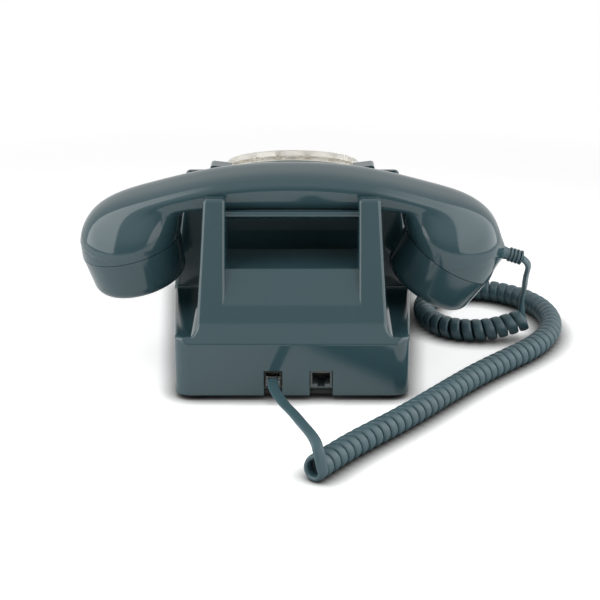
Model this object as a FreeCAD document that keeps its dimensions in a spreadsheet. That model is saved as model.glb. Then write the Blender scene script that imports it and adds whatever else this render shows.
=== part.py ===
import FreeCAD, Part
import math
import os
import re
import Sketcher

# Desk telephone with a rotary dial, a lift-off handset and a curly cord.
# Frame: +X to the right seen from behind, +Y towards the dial, +Z up, millimetres.
# The origin is on the table, under the middle of the case.

Vector = FreeCAD.Vector
Placement = FreeCAD.Placement
Rotation = FreeCAD.Rotation

SIZES = {
    # case
    "case_depth": 210.0,
    "rear_width": 128.0,
    "front_width": 156.0,
    "foot_height": 3.0,
    "wall": 2.4,
    "shelf_height": 36.0,
    "rear_wall_top": 33.0,
    "band_depth": 6.5,
    "band_top": 42.0,
    "rib_top": 106.2,
    "rib_lean": 28.4,
    "rib_gap": 73.0,
    "tower_foot": 104.0,
    "tower_head": 97.0,
    "tower_flare": 7.0,
    "flare_sink": 1.2,
    "flare_dip": 0.5,
    "seat_height": 94.2,
    "seat_rear_in": 37.5,
    "seat_front_in": 75.0,
    "wing_rear_in": 121.0,
    "wing_draft": 7.0,
    "crest_in": 110.0,
    "crest_height": 105.0,
    "fascia_slope": 25.0,
    "horn_inner": 35.5,
    "horn_outer": 48.0,
    "horn_top": 109.0,
    "horn_rear_in": 116.0,
    "horn_front_in": 104.0,
    "recess_edge_in": 20.5,
    "recess_edge_height": 69.4,
    "ledge_in": 56.0,
    "recess_floor": 70.0,
    "recess_back_in": 74.0,
    "well_floor": 64.0,
    "lip_under": 92.4,
    "lip_rear_in": 33.0,
    "lip_top": 98.0,
    "lip_edge": 2.4,
    "lip_bevel": 6.0,
    "slope_start_height": 52.0,
    "rear_corner": 9.0,
    "front_corner": 14.0,
    "band_round": 8.0,
    "rear_round": 3.0,
    "rib_round": 2.0,
    "wing_round": 3.0,
    "wing_top_round": 2.5,
    "shelf_round": 2.0,
    "recess_round": 3.0,
    "ledge_round": 1.0,
    "horn_round": 2.0,
    "slope_round": 6.0,
    "lip_round": 1.2,
    # base plate and its fastenings
    "plate_gap": 0.3,
    "plate_thickness": 2.4,
    "foot_radius": 7.0,
    "foot_x_rear": 53.0,
    "foot_x_front": 60.0,
    "foot_rear_in": 10.0,
    "foot_front_in": 13.0,
    "boss_radius": 4.0,
    "boss_x_rear": 57.0,
    "boss_rear_in": 27.0,
    "boss_x_front": 64.0,
    "boss_front_in": 35.0,
    "screw_radius": 1.4,
    "screw_head_radius": 2.9,
    "screw_head_height": 1.4,
    "screw_length": 12.0,
    "fit": 0.1,
    # circuit board
    "board_width": 84.0,
    "board_depth": 46.0,
    "board_thickness": 1.6,
    "board_lift": 0.4,
    "board_rear_in": 3.0,
    # sockets
    "line_x": 16.0,
    "line_width": 12.0,
    "line_mouth": 9.8,
    "cord_x": -10.4,
    "cord_width": 9.4,
    "cord_mouth": 7.8,
    "socket_top": 17.0,
    "socket_depth": 15.0,
    "socket_sink": 1.0,
    "socket_frame": 1.0,
    "mouth_height": 6.6,
    "latch_slot": 4.0,
    "latch_drop": 1.6,
    "notch_gap": 0.35,
    "pin_radius": 0.3,
    "pin_pitch": 1.2,
    "plug_length": 12.0,
    "plug_out": 2.5,
    # ringer
    "gong_radius": 22.0,
    "gong_height": 15.0,
    "gong_wall": 1.2,
    "gong_x": 27.0,
    "gong_in": 41.0,
    "gong_lift": 20.0,
    "gong_post_radius": 3.5,
    "ball_radius": 3.2,
    "clapper_reach": 38.0,
    "clapper_rod": 1.0,
    "clapper_height": 24.0,
    "coil_radius": 7.0,
    "coil_length": 22.0,
    "coil_core_radius": 2.5,
    "ringer_width": 34.0,
    "ringer_depth": 18.0,
    "ringer_gap": 9.0,
    "pivot_radius": 1.2,
    # dial
    "dial_in": 57.0,
    "flange_radius": 46.0,
    "flange_thickness": 1.8,
    "skirt_radius": 40.5,
    "skirt_depth": 8.0,
    "drum_radius": 44.5,
    "drum_height": 8.0,
    "drum_plate": 2.5,
    "number_thickness": 0.8,
    "number_inner": 14.0,
    "wheel_radius": 40.5,
    "wheel_bottom": 11.6,
    "wheel_thickness": 3.4,
    "finger_hole": 6.4,
    "finger_circle": 31.0,
    "finger_count": 10.0,
    "finger_step": 30.0,
    "hub_radius": 12.0,
    "hub_thickness": 1.8,
    "shaft_radius": 4.0,
    "bush_radius": 6.0,
    "centre_radius": 14.0,
    "centre_height": 1.6,
    "run_clearance": 0.05,
    "stop_width": 5.0,
    "stop_thickness": 1.2,
    "stop_reach": 20.0,
    "stop_angle": 150.0,
    "gear_module": 1.0,
    "main_teeth": 36.0,
    "pulse_teeth": 12.0,
    "governor_module": 0.75,
    "pulse_wheel_teeth": 24.0,
    "governor_teeth": 12.0,
    "gear_width": 3.0,
    "gear_addendum": 0.8,
    "gear_dedendum": 1.05,
    "gear_backlash": 0.3,
    "pressure_angle": 20.0,
    "main_gear_top": 2.0,
    "pulse_wheel_top": -5.0,
    "arbor_radius": 1.5,
    "frame_plate_top": -20.0,
    "frame_plate_thickness": 1.5,
    "frame_plate_radius": 36.0,
    "pillar_radius": 2.5,
    "pillar_circle": 32.0,
    "governor_drum": 7.5,
    "governor_height": 5.0,
    "spring_strip": 0.5,
    "spring_width": 3.0,
    "spring_turns": 5.0,
    "spring_step": 1.7,
    "spring_inner": 5.0,
    "spring_top": -12.0,
    # hook switch
    "plunger_x": 42.8,
    "plunger_in": 58.0,
    "plunger_radius": 3.0,
    "plunger_gap": 0.2,
    "bar_height": 56.0,
    "bar_thickness": 4.0,
    "bar_width": 9.0,
    "hook_spring_radius": 3.6,
    "hook_spring_wire": 0.8,
    "hook_spring_turns": 6.0,
    "spring_seat": 38.0,
    "bracket_thickness": 2.0,
    "bracket_depth": 16.0,
    "switch_length": 20.0,
    "switch_width": 6.4,
    "switch_height": 10.0,
    # handset
    "handset_in": 57.0,
    "handset_height": 96.9,
    "handset_roll": 9.0,
    "grip_top": 20.0,
    "grip_arc": 265.0,
    "grip_half_width": 16.0,
    "neck_half_width": 19.0,
    "neck_x": 62.0,
    "neck_drop": 2.0,
    "shell_wall": 2.6,
    "ear_radius": 29.0,
    "ear_inner": 62.2,
    "ear_drop": 27.0,
    "receiver_tilt": 13.0,
    "receiver_seam": 2.6,
    "receiver_depth": 24.8,
    "transmitter_tilt": 31.0,
    "transmitter_seam": -4.0,
    "transmitter_depth": 25.5,
    "cap_wall": 2.2,
    "cap_taper": 2.6,
    "cap_round": 7.0,
    "spigot_radius": 24.4,
    "spigot_height": 3.5,
    "seam_gap": 0.35,
    "receiver_hole": 1.3,
    "receiver_hole_circle": 7.0,
    "receiver_holes": 6.0,
    "transmitter_hole": 1.2,
    "transmitter_hole_circle": 9.0,
    "transmitter_holes": 10.0,
    "capsule_radius": 18.0,
    "capsule_height": 8.0,
    "weight_length": 70.0,
    "weight_width": 14.0,
    "weight_height": 8.0,
    "grip_round": 8.0,
    "relief_length": 15.0,
    "relief_radius": 3.6,
    "relief_root": 5.6,
    "relief_groove": 1.1,
    "relief_angle": 30.0,
    "relief_ribs": 4.0,
    # cord
    "cord_wire": 4.0,
    "coil_outer": 13.4,
    "curl_pitch": 6.4,
}

# Places along the case, in from its rear or its front wall, and across the handset
PLACES = {
    "seat_rear": "seat_rear_in - case_depth / 2",
    "seat_front": "seat_front_in - case_depth / 2",
    "recess_edge_y": "recess_edge_in - case_depth / 2",
    "ledge_y": "ledge_in - case_depth / 2",
    "recess_back": "recess_back_in - case_depth / 2",
    "lip_rear": "lip_rear_in - case_depth / 2",
    "foot_y_rear": "foot_rear_in - case_depth / 2",
    "boss_y_rear": "boss_rear_in - case_depth / 2",
    "board_rear": "board_rear_in - case_depth / 2",
    "plunger_y": "plunger_in - case_depth / 2",
    "handset_y": "handset_in - case_depth / 2",
    "wing_rear": "case_depth / 2 - wing_rear_in",
    "crest_y": "case_depth / 2 - crest_in",
    "horn_rear": "case_depth / 2 - horn_rear_in",
    "horn_front": "case_depth / 2 - horn_front_in",
    "foot_y_front": "case_depth / 2 - foot_front_in",
    "boss_y_front": "case_depth / 2 - boss_front_in",
    "gong_y": "case_depth / 2 - gong_in",
    "dial_y": "case_depth / 2 - dial_in",
    "ear_x": "ear_inner + ear_radius",
}
# Places that several pieces share, as expressions in the sizes above
PLATE_TOP = "(foot_height + plate_thickness)"
BOARD_BOTTOM = "(foot_height + plate_thickness + board_lift)"
BOARD_TOP = "(foot_height + plate_thickness + board_lift + board_thickness)"
DIAL_HEIGHT = "(crest_height - (dial_y - crest_y) * tan(fascia_slope))"
GONG_TOP = "(gong_lift + gong_height)"

doc = FreeCAD.newDocument("telephone")
sheet = doc.addObject("Spreadsheet::Sheet", "sizes")
for row, (alias, value) in enumerate(SIZES.items(), start=1):
    sheet.set(f"A{row}", alias)
    sheet.set(f"B{row}", str(value))
    sheet.setAlias(f"B{row}", alias)
doc.recompute()

nodes = {}


def bound(expression):
    """The expression with each place worked out and each size's name pointed at its cell."""
    def cell(word):
        name = word.group()
        if name in PLACES:
            return "(" + bound(PLACES[name]) + ")"
        return "sizes." + name if name in SIZES else name
    return re.sub(r"[a-z_]+", cell, expression)


def size(expression):
    """The present value of an expression in the sheet's sizes."""
    return float(sheet.evalExpression(bound(expression)))


def keep(name, thing, placement=None):
    """Name a finished sub-part, which names its file."""
    thing.Label = name
    if placement is not None:
        thing.Placement = placement
    nodes[name] = thing
    return thing


def new_body(name):
    return doc.addObject("PartDesign::Body", name + "_body")


def new_sketch(body, name, role="XY_Plane", offset="0"):
    """A sketch on one of the body's own planes, moved along its normal."""
    plane = [item for item in body.Origin.OriginFeatures if item.Role == role][0]
    sketch = body.newObject("Sketcher::SketchObject", name)
    sketch.AttachmentSupport = [(plane, "")]
    sketch.MapMode = "FlatFace"
    sketch.setExpression("AttachmentOffset.Base.z", bound(offset))
    return sketch


def fix_point(sketch, geometry, position, across, up):
    """Hold one point of a sketch at a place given by two expressions."""
    for kind, expression in (("DistanceX", across), ("DistanceY", up)):
        rule = Sketcher.Constraint(kind, -1, 1, geometry, position, size(expression))
        number = sketch.addConstraint(rule)
        sketch.setExpression(f"Constraints[{number}]", bound(expression))


def outline(sketch, points):
    """A closed outline of straight lines through points given as expressions."""
    first = sketch.GeometryCount
    count = len(points)
    places = [Vector(size(across), size(up), 0) for across, up in points]
    for start, end in zip(places, places[1:] + places[:1]):
        sketch.addGeometry(Part.LineSegment(start, end))
    for step in range(count):
        following = first + (step + 1) % count
        sketch.addConstraint(Sketcher.Constraint("Coincident", first + step, 2, following, 1))
    for step, (across, up) in enumerate(points):
        fix_point(sketch, first + step, 1, across, up)


def curved_outline(sketch, points, curves):
    """An outline like the plain one, some of whose sides are clockwise arcs about given middles."""
    count = len(points)
    places = [Vector(size(across), size(up), 0) for across, up in points]
    ends = {}
    for step, (start, end) in enumerate(zip(places, places[1:] + places[:1])):
        if step in curves:
            middle = Vector(size(curves[step][0]), size(curves[step][1]), 0)
            low, high = end - middle, start - middle
            ring = Part.Circle(middle, Vector(0, 0, 1), low.Length)
            sketch.addGeometry(Part.ArcOfCircle(ring, math.atan2(low.y, low.x), math.atan2(high.y, high.x)))
            ends[step] = (2, 1)
        else:
            sketch.addGeometry(Part.LineSegment(start, end))
            ends[step] = (1, 2)
    for step in range(count):
        following = (step + 1) % count
        sketch.addConstraint(Sketcher.Constraint("Coincident", step, ends[step][1], following,
                                                 ends[following][0]))
    for step, (across, up) in enumerate(points):
        fix_point(sketch, step, ends[step][0], across, up)
    for step, (across, up) in curves.items():
        rule = Sketcher.Constraint("DistanceX", -1, 1, step, 3, size(across))
        sketch.setExpression(f"Constraints[{sketch.addConstraint(rule)}]", bound(across))


def box_outline(sketch, left, right, bottom, top):
    outline(sketch, [(left, bottom), (right, bottom), (right, top), (left, top)])


def mirrored_outline(sketch, points):
    """An outline and its mirror image across the sketch's upright axis."""
    outline(sketch, points)
    outline(sketch, [(f"-({across})", up) for across, up in reversed(points)])


def circle(sketch, across, up, radius):
    centre = Vector(size(across), size(up), 0)
    geometry = sketch.addGeometry(Part.Circle(centre, Vector(0, 0, 1), size(radius)))
    fix_point(sketch, geometry, 3, across, up)
    number = sketch.addConstraint(Sketcher.Constraint("Radius", geometry, size(radius)))
    sketch.setExpression(f"Constraints[{number}]", bound(radius))


def pad(body, sketch, length, kind="Pad", middle=False, reverse=False, taper=None):
    """Add, or with kind Pocket cut, the sketch along its normal."""
    feature = body.newObject("PartDesign::" + kind, sketch.Name + "_" + kind.lower())
    feature.Profile = sketch
    feature.SideType = "Symmetric" if middle else "One side"
    feature.Reversed = reverse
    feature.setExpression("Length", bound(length))
    if taper:
        feature.setExpression("TaperAngle", bound(taper))
    return feature


def pocket(body, sketch, length, middle=False, reverse=False):
    return pad(body, sketch, length, "Pocket", middle, reverse)


def revolve(body, sketch):
    feature = body.newObject("PartDesign::Revolution", sketch.Name + "_turn")
    feature.Profile = sketch
    feature.ReferenceAxis = (sketch, ["V_Axis"])
    feature.Angle = 360.0
    return feature


def turned(name, points, placement=None):
    """A piece turned about its own Z axis from an outline of radius and height."""
    body = new_body(name)
    sketch = new_sketch(body, name + "_profile", "XZ_Plane")
    outline(sketch, points)
    revolve(body, sketch)
    return keep(name, body, placement) if placement is not None else body


def repeat_round(body, feature, sketch, count, angle="360"):
    pattern = body.newObject("PartDesign::PolarPattern", feature.Name + "_ring")
    pattern.Originals = [feature]
    pattern.Axis = (sketch, ["N_Axis"])
    pattern.setExpression("Angle", bound(angle))
    pattern.setExpression("Occurrences", bound(count))
    body.Tip = pattern
    return pattern


def round_edges(body, name, radius, wanted):
    """Round the edges of the body's last feature that a test picks."""
    doc.recompute()
    base = body.Tip
    picked = [f"Edge{number}" for number, edge in enumerate(base.Shape.Edges, start=1) if wanted(edge)]
    feature = body.newObject("PartDesign::Fillet", name)
    feature.Base = (base, picked)
    feature.setExpression("Radius", bound(radius))
    return feature


def block(name, left, right, rear, front, bottom, top):
    """A box between six faces given as expressions."""
    thing = doc.addObject("Part::Box", name)
    thing.setExpression("Length", bound(f"({right}) - ({left})"))
    thing.setExpression("Width", bound(f"({front}) - ({rear})"))
    thing.setExpression("Height", bound(f"({top}) - ({bottom})"))
    thing.setExpression("Placement.Base.x", bound(left))
    thing.setExpression("Placement.Base.y", bound(rear))
    thing.setExpression("Placement.Base.z", bound(bottom))
    return thing


def rod(name, radius, bottom, top, across="0", along="0"):
    """An upright cylinder between two heights."""
    thing = doc.addObject("Part::Cylinder", name)
    thing.setExpression("Radius", bound(radius))
    thing.setExpression("Height", bound(f"({top}) - ({bottom})"))
    thing.setExpression("Placement.Base.x", bound(across))
    thing.setExpression("Placement.Base.y", bound(along))
    thing.setExpression("Placement.Base.z", bound(bottom))
    return thing


def fused(name, things):
    joined = doc.addObject("Part::MultiFuse", name)
    joined.Shapes = things
    return joined


def group(name, things):
    """Separate solids of one kind in one node."""
    together = doc.addObject("Part::Compound", name)
    together.Links = things
    return together


def cut(name, base, tool):
    result = doc.addObject("Part::Cut", name)
    result.Base = base
    result.Tool = tool
    return result


def four(rear, front):
    """The four corner places of a piece that stands at both sides, rear and front."""
    return [(side + across, along) for across, along in (rear, front) for side in ("-", "")]


BOSSES = four(("boss_x_rear", "boss_y_rear"), ("boss_x_front", "boss_y_front"))
FEET = four(("foot_x_rear", "foot_y_rear"), ("foot_x_front", "foot_y_front"))


def plan_outline(inset, rear):
    """The case seen from above, wider in front, from a rear line to the front wall."""
    def half(along):
        spread = f"(front_width - rear_width) / 2 * (({along}) + case_depth / 2) / case_depth"
        return f"rear_width / 2 + {spread} - {inset}"
    front = f"case_depth / 2 - {inset}"
    return [(f"-({half(rear)})", rear), (half(rear), rear), (half(front), front),
            (f"-({half(front)})", front)]


def tower_outline(sketch, inset):
    """The case above its shelves seen from behind, with a hollow curve at each foot."""
    reach = "tower_foot / 2 + tower_flare"
    high = "shelf_height - flare_sink + tower_flare"
    low = f"shelf_height - {inset} - flare_dip"
    run = f"sqrt((tower_flare + {inset}) ^ 2 - (({high}) - ({low})) ^ 2)"
    right = [(f"{reach} - {run}", low), (f"tower_foot / 2 - {inset}", high),
             (f"tower_head / 2 - {inset}", f"rib_top - {inset}")]
    curves = {0: (reach, high), 4: (f"-({reach})", high)}
    curved_outline(sketch, right + [(f"-({across})", up) for across, up in reversed(right)], curves)


def case_solid(name, inset, bottom):
    """The case as a full solid, drawn in from its outer faces by the inset."""
    body = new_body(name)
    upright = [lambda edge, sign=sign: abs(edge.BoundBox.ZLength) > 20 and sign * edge.CenterOfMass.y > 40
               for sign in (-1, 1)]
    sketch = new_sketch(body, name + "_plan", "XY_Plane", bottom)
    outline(sketch, plan_outline(inset, f"-(case_depth / 2 - {inset})"))
    pad(body, sketch, f"shelf_height - {inset} - ({bottom})")
    round_edges(body, name + "_rear_corners", f"rear_corner - {inset}", upright[0])
    round_edges(body, name + "_front_corners", f"front_corner - {inset}", upright[1])

    sketch = new_sketch(body, name + "_wing", "XY_Plane", f"shelf_height - {inset}")
    outline(sketch, plan_outline(inset, f"wing_rear + {inset}"))
    pad(body, sketch, "crest_height - shelf_height", taper="-wing_draft")
    round_edges(body, name + "_wing_corners", f"front_corner - {inset}",
                lambda edge: upright[1](edge) and edge.CenterOfMass.z > size("shelf_height + 5"))

    sketch = new_sketch(body, name + "_tower", "XZ_Plane", f"case_depth / 2 - {inset}")
    tower_outline(sketch, inset)
    pad(body, sketch, f"case_depth / 2 + crest_y - {inset}", reverse=True)

    # everything behind the leaning rear face
    sketch = new_sketch(body, name + "_rear_face", "YZ_Plane")
    rear = f"-case_depth / 2 + {inset}"
    outline(sketch, [(f"{rear} - 5", "rear_wall_top"), (rear, "rear_wall_top"),
                     (f"{rear} + band_depth", "band_top"),
                     (f"{rear} + rib_lean", "rib_top"), (f"{rear} + rib_lean", "rib_top + 20"),
                     (f"{rear} - 5", "rib_top + 20")])
    pocket(body, sketch, "front_width * 2", middle=True)

    # the trough for the handset, and what stands above the sloping front
    sketch = new_sketch(body, name + "_trough", "YZ_Plane")
    front = "case_depth / 2 + 5"
    crest = f"crest_height - {inset} / cos(fascia_slope)"
    outline(sketch, [(f"seat_rear - 3 - {inset}", "rib_top + 20"),
                     (f"seat_rear - {inset}", f"seat_height - {inset}"),
                     (f"seat_front + {inset}", f"seat_height - {inset}"),
                     ("crest_y - 4", f"crest_height - {inset}"),
                     ("crest_y", crest),
                     (front, f"{crest} - ({front} - crest_y) * tan(fascia_slope)"),
                     (front, "rib_top + 20")])
    pocket(body, sketch, "front_width * 2", middle=True)

    # the hand hold between the ribs, under the lip
    sketch = new_sketch(body, name + "_hand_hold", "YZ_Plane")
    lean = "(rib_lean - band_depth) / (rib_top - band_top)"
    start = f"{rear} + band_depth + (slope_start_height - band_top) * {lean}"
    outline(sketch, [(f"{start} - 20", f"slope_start_height - {inset}"),
                     (start, f"slope_start_height - {inset}"),
                     ("recess_edge_y", f"recess_edge_height - {inset}"),
                     (f"ledge_y - {inset}", f"recess_floor - {inset}"),
                     (f"ledge_y - {inset}", f"well_floor - {inset}"),
                     (f"recess_back + {inset}", f"well_floor - {inset}"),
                     (f"recess_back + {inset}", f"lip_under + {inset}"),
                     (f"lip_rear + lip_bevel + {inset}", f"lip_under + {inset}"),
                     (f"lip_rear + {inset}", f"lip_top - lip_edge + {inset}"),
                     (f"lip_rear + {inset}", "rib_top + 20"),
                     (f"{start} - 20", "rib_top + 20")])
    pocket(body, sketch, f"rib_gap + 2 * {inset}", middle=True)
    sketch = new_sketch(body, name + "_lip", "XZ_Plane", f"-(seat_rear + {inset})")
    box_outline(sketch, f"-rib_gap / 2 - {inset}", f"rib_gap / 2 + {inset}", f"lip_top - {inset}",
                "rib_top + 20")
    pocket(body, sketch, "case_depth", reverse=True)
    return body


def soften_case(body):
    """Round the outer edges of the case that show from behind and from the front."""
    def at(value, expression):
        return abs(value - size(expression)) < 0.1

    def sideways(edge, expression):
        box = edge.BoundBox
        return box.YLength < 0.01 and box.ZLength < 0.01 and at(edge.CenterOfMass.z, expression)

    def rib_edge(edge):
        across, along, height = abs(edge.CenterOfMass.x), edge.CenterOfMass.y, edge.CenterOfMass.z
        lean = size("(rib_lean - band_depth) / (rib_top - band_top)")
        face = size("-case_depth / 2 + band_depth") + (height - size("band_top")) * lean
        if at(height, "rib_top"):
            return along < size("seat_rear - 1.5")
        if along > face + 3 or edge.BoundBox.ZLength < 1.5 or height < size("shelf_height + 0.5"):
            return False
        inner = at(across, "rib_gap / 2") and edge.BoundBox.ZLength > 40
        return inner or across > size("rib_gap / 2 + 8")

    def shelf_edge(edge):
        centre = edge.CenterOfMass
        level = edge.BoundBox.ZLength < 0.1 and at(centre.z, "shelf_height")
        outside = abs(centre.x) > size("tower_foot / 2 + tower_flare")
        return level and outside and centre.y < 0 and not at(centre.y, "wing_rear")

    def long_edge(edge, rise, run):
        box = edge.BoundBox
        return box.ZLength > rise and box.YLength > run and abs(edge.CenterOfMass.x) > 60

    round_edges(body, "round_band", "band_round", lambda edge: sideways(edge, "band_top"))
    round_edges(body, "round_rear_wall", "rear_round", lambda edge: sideways(edge, "rear_wall_top"))
    round_edges(body, "round_wing_backs", "wing_round",
                lambda edge: long_edge(edge, 60, 0) and edge.CenterOfMass.y < size("crest_y"))
    round_edges(body, "round_shelves", "shelf_round", shelf_edge)
    round_edges(body, "round_ribs", "rib_round", rib_edge)
    round_edges(body, "round_wing_tops", "wing_top_round", lambda edge: long_edge(edge, 30, 80))
    round_edges(body, "round_recess", "recess_round", lambda edge: sideways(edge, "recess_edge_height"))
    round_edges(body, "round_ledge", "ledge_round",
                lambda edge: sideways(edge, "recess_floor") and at(edge.CenterOfMass.y, "ledge_y"))
    round_edges(body, "round_slope", "slope_round", lambda edge: sideways(edge, "slope_start_height"))
    round_edges(body, "round_lip", "lip_round",
                lambda edge: sideways(edge, "lip_top") and at(edge.CenterOfMass.y, "lip_rear"))


def hanging(name, radius, places, bottom, top):
    """Equal upright rods at several places."""
    return [rod(f"{name}_{step}", radius, bottom, top, across, along)
            for step, (across, along) in enumerate(places)]


def screw(name, across, along, seat, turn=None, length="screw_length"):
    """A round-headed screw whose head bears on a seat, point up, or down if turned over."""
    body = turned(name, [("0", "-screw_head_height"), ("screw_head_radius * 0.7", "-screw_head_height"),
                         ("screw_head_radius", "-screw_head_height / 2"), ("screw_head_radius", "0"),
                         ("screw_radius", "0"), ("screw_radius", f"{length} - 1"), ("0", length)])
    body.Placement = Placement(Vector(size(across), size(along), size(seat)), turn or Rotation())
    return body


def make_case():
    """The moulded shell: bosses inside, the dial's hole, socket notches and plunger holes."""
    outer = case_solid("case_outer", "0", "foot_height")
    soften_case(outer)
    sketch = new_sketch(outer, "case_horns", "XZ_Plane", "-horn_front")
    mirrored_outline(sketch, [("horn_outer", "crest_height - 8"), ("horn_outer", "horn_top"),
                              ("horn_inner", "horn_top - 1.5"), ("horn_inner", "crest_height - 8")])
    pad(outer, sketch, "horn_front - horn_rear")
    round_edges(outer, "round_horns", "horn_round",
                lambda edge: edge.CenterOfMass.z > size("horn_top - 0.1") and edge.BoundBox.XLength < 0.1)
    core = case_solid("case_core", "wall", "foot_height - 5")
    hollow = cut("case_hollow", outer, core)
    rear_tops = "shelf_height - wall / 2"
    front_tops = "crest_height - (boss_y_front - crest_y) * tan(fascia_slope) - wall"
    bosses = (hanging("rear_boss", "boss_radius", BOSSES[:2], PLATE_TOP, rear_tops)
              + hanging("front_boss", "boss_radius", BOSSES[2:], PLATE_TOP, front_tops))
    whole = fused("case_with_bosses", [hollow] + bosses)
    pilots = hanging("pilot", "screw_radius + fit", BOSSES, "0", "screw_length + foot_height + 2")
    plungers = hanging("plunger_hole", "plunger_radius + plunger_gap", PLUNGERS, "seat_height - 8",
                       "seat_height + 8")
    notches = [block(f"{where}_notch", f"{where}_x - {where}_width / 2 - notch_gap",
                     f"{where}_x + {where}_width / 2 + notch_gap", "-case_depth / 2 - 5",
                     "-case_depth / 2 + wall + 1", "0", "socket_top + notch_gap")
               for where in ("line", "cord")]
    opening = turned("dial_opening", [("0", "-20"), ("skirt_radius + plate_gap", "-20"),
                                      ("skirt_radius + plate_gap", "20"), ("0", "20")])
    opening.Placement = dial_frame
    holes = fused("case_holes", pilots + plungers + notches + [opening])
    keep("case_shell", cut("case_shell", whole, holes))


def make_base_plate():
    """The flat floor of the case, with pads under the circuit board."""
    body = new_body("base_plate")
    inset = "(wall + plate_gap)"
    sketch = new_sketch(body, "base_plate_plan", "XY_Plane", "foot_height")
    outline(sketch, plan_outline(inset, f"-case_depth / 2 + {inset}"))
    pad(body, sketch, "plate_thickness")
    for name, sign in (("rear", -1), ("front", 1)):
        round_edges(body, f"base_plate_{name}_corners", f"{name}_corner - {inset}",
                    lambda edge: edge.BoundBox.ZLength > 1 and sign * edge.CenterOfMass.y > 40)
    sketch = new_sketch(body, "base_plate_pads", "XY_Plane", PLATE_TOP)
    for across, along in BOARD_HOLES:
        circle(sketch, across, along, "boss_radius")
    pad(body, sketch, "board_lift")
    sketch = new_sketch(body, "base_plate_holes", "XY_Plane", BOARD_BOTTOM)
    for across, along in BOSSES + BOARD_HOLES:
        circle(sketch, across, along, "screw_radius + fit")
    pocket(body, sketch, "plate_thickness + board_lift + 1")
    keep("base_plate", body)
    feet = []
    for step, (across, along) in enumerate(FEET):
        foot = turned(f"foot_{step}", [("0", "0"), ("foot_radius - 1", "0"), ("foot_radius", "1"),
                                       ("foot_radius", "foot_height"), ("0", "foot_height")])
        foot.Placement = Placement(Vector(size(across), size(along), 0), Rotation())
        feet.append(foot)
    keep("rubber_feet", group("rubber_feet", feet))
    screws = [screw(f"case_screw_{step}", across, along, "foot_height")
              for step, (across, along) in enumerate(BOSSES)]
    keep("case_screws", group("case_screws", screws))


def make_board():
    """The circuit board, its screws and what is soldered on it."""
    body = new_body("circuit_board")
    sketch = new_sketch(body, "circuit_board_plan", "XY_Plane", BOARD_BOTTOM)
    box_outline(sketch, "-board_width / 2", "board_width / 2", "board_rear", "board_rear + board_depth")
    for across, along in BOARD_HOLES:
        circle(sketch, across, along, "screw_radius + fit")
    pad(body, sketch, "board_thickness")
    keep("circuit_board", body)
    over = Rotation(Vector(1, 0, 0), 180)
    screws = [screw(f"board_screw_{step}", across, along, BOARD_TOP, over,
                    "board_thickness + board_lift + 2")
              for step, (across, along) in enumerate(BOARD_HOLES)]
    keep("board_screws", group("board_screws", screws))
    chips = [block("speech_chip", "-8", "8", "board_rear + 26", "board_rear + 34", BOARD_TOP,
                   f"{BOARD_TOP} + 3.5"),
             rod("ringer_capacitor", "4", BOARD_TOP, f"{BOARD_TOP} + 12", "26", "board_rear + 34"),
             rod("filter_capacitor", "3", BOARD_TOP, f"{BOARD_TOP} + 8", "15", "board_rear + 24"),
             block("relay", "-34", "-20", "board_rear + 22", "board_rear + 34", BOARD_TOP,
                   f"{BOARD_TOP} + 9")]
    keep("board_components", group("board_components", chips))


def make_socket(name, where, count):
    """A modular socket on the board, open to the rear, with its spring contacts."""
    body = new_body(name)
    rear = "-case_depth / 2 + socket_sink"
    sketch = new_sketch(body, name + "_face", "XZ_Plane", f"-({rear})")
    middle = f"{where}_x"
    box_outline(sketch, f"{middle} - {where}_width / 2", f"{middle} + {where}_width / 2", BOARD_TOP,
                "socket_top")
    pad(body, sketch, "socket_depth", reverse=True)
    sketch = new_sketch(body, name + "_mouth", "XZ_Plane", f"-({rear})")
    roof = "socket_top - socket_frame"
    floor = f"({roof} - mouth_height)"
    half = f"{where}_mouth / 2"
    outline(sketch, [(f"{middle} - {half}", roof), (f"{middle} - {half}", floor),
                     (f"{middle} - latch_slot / 2", floor),
                     (f"{middle} - latch_slot / 2", f"{floor} - latch_drop"),
                     (f"{middle} + latch_slot / 2", f"{floor} - latch_drop"),
                     (f"{middle} + latch_slot / 2", floor),
                     (f"{middle} + {half}", floor), (f"{middle} + {half}", roof)])
    pocket(body, sketch, "socket_depth - 2")
    sketch = new_sketch(body, name + "_pin_holes", "XZ_Plane", f"-({rear})")
    height = f"{roof} - 0.6"
    places = [f"{middle} + pin_pitch * ({step} - {(count - 1) / 2})" for step in range(count)]
    for across in places:
        circle(sketch, across, height, "pin_radius + run_clearance")
    pocket(body, sketch, "socket_depth + 1")
    keep(name, body)
    pins = []
    back = f"({rear} + socket_depth + 0.6)"
    for step, across in enumerate(places):
        wire = doc.addObject("Part::Cylinder", f"{name}_wire_{step}")
        wire.setExpression("Radius", bound("pin_radius"))
        wire.setExpression("Height", bound("socket_depth - 1"))
        wire.Placement = Placement(Vector(0, 0, 0), Rotation(Vector(1, 0, 0), 90))
        wire.setExpression("Placement.Base.x", bound(across))
        wire.setExpression("Placement.Base.y", bound(back))
        wire.setExpression("Placement.Base.z", bound(height))
        leg = rod(f"{name}_leg_{step}", "pin_radius", BOARD_TOP, f"{height} + pin_radius", across, back)
        pins.append(fused(f"{name}_pin_{step}", [wire, leg]))
    keep(name + "_contacts", group(name + "_contacts", pins))


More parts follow.
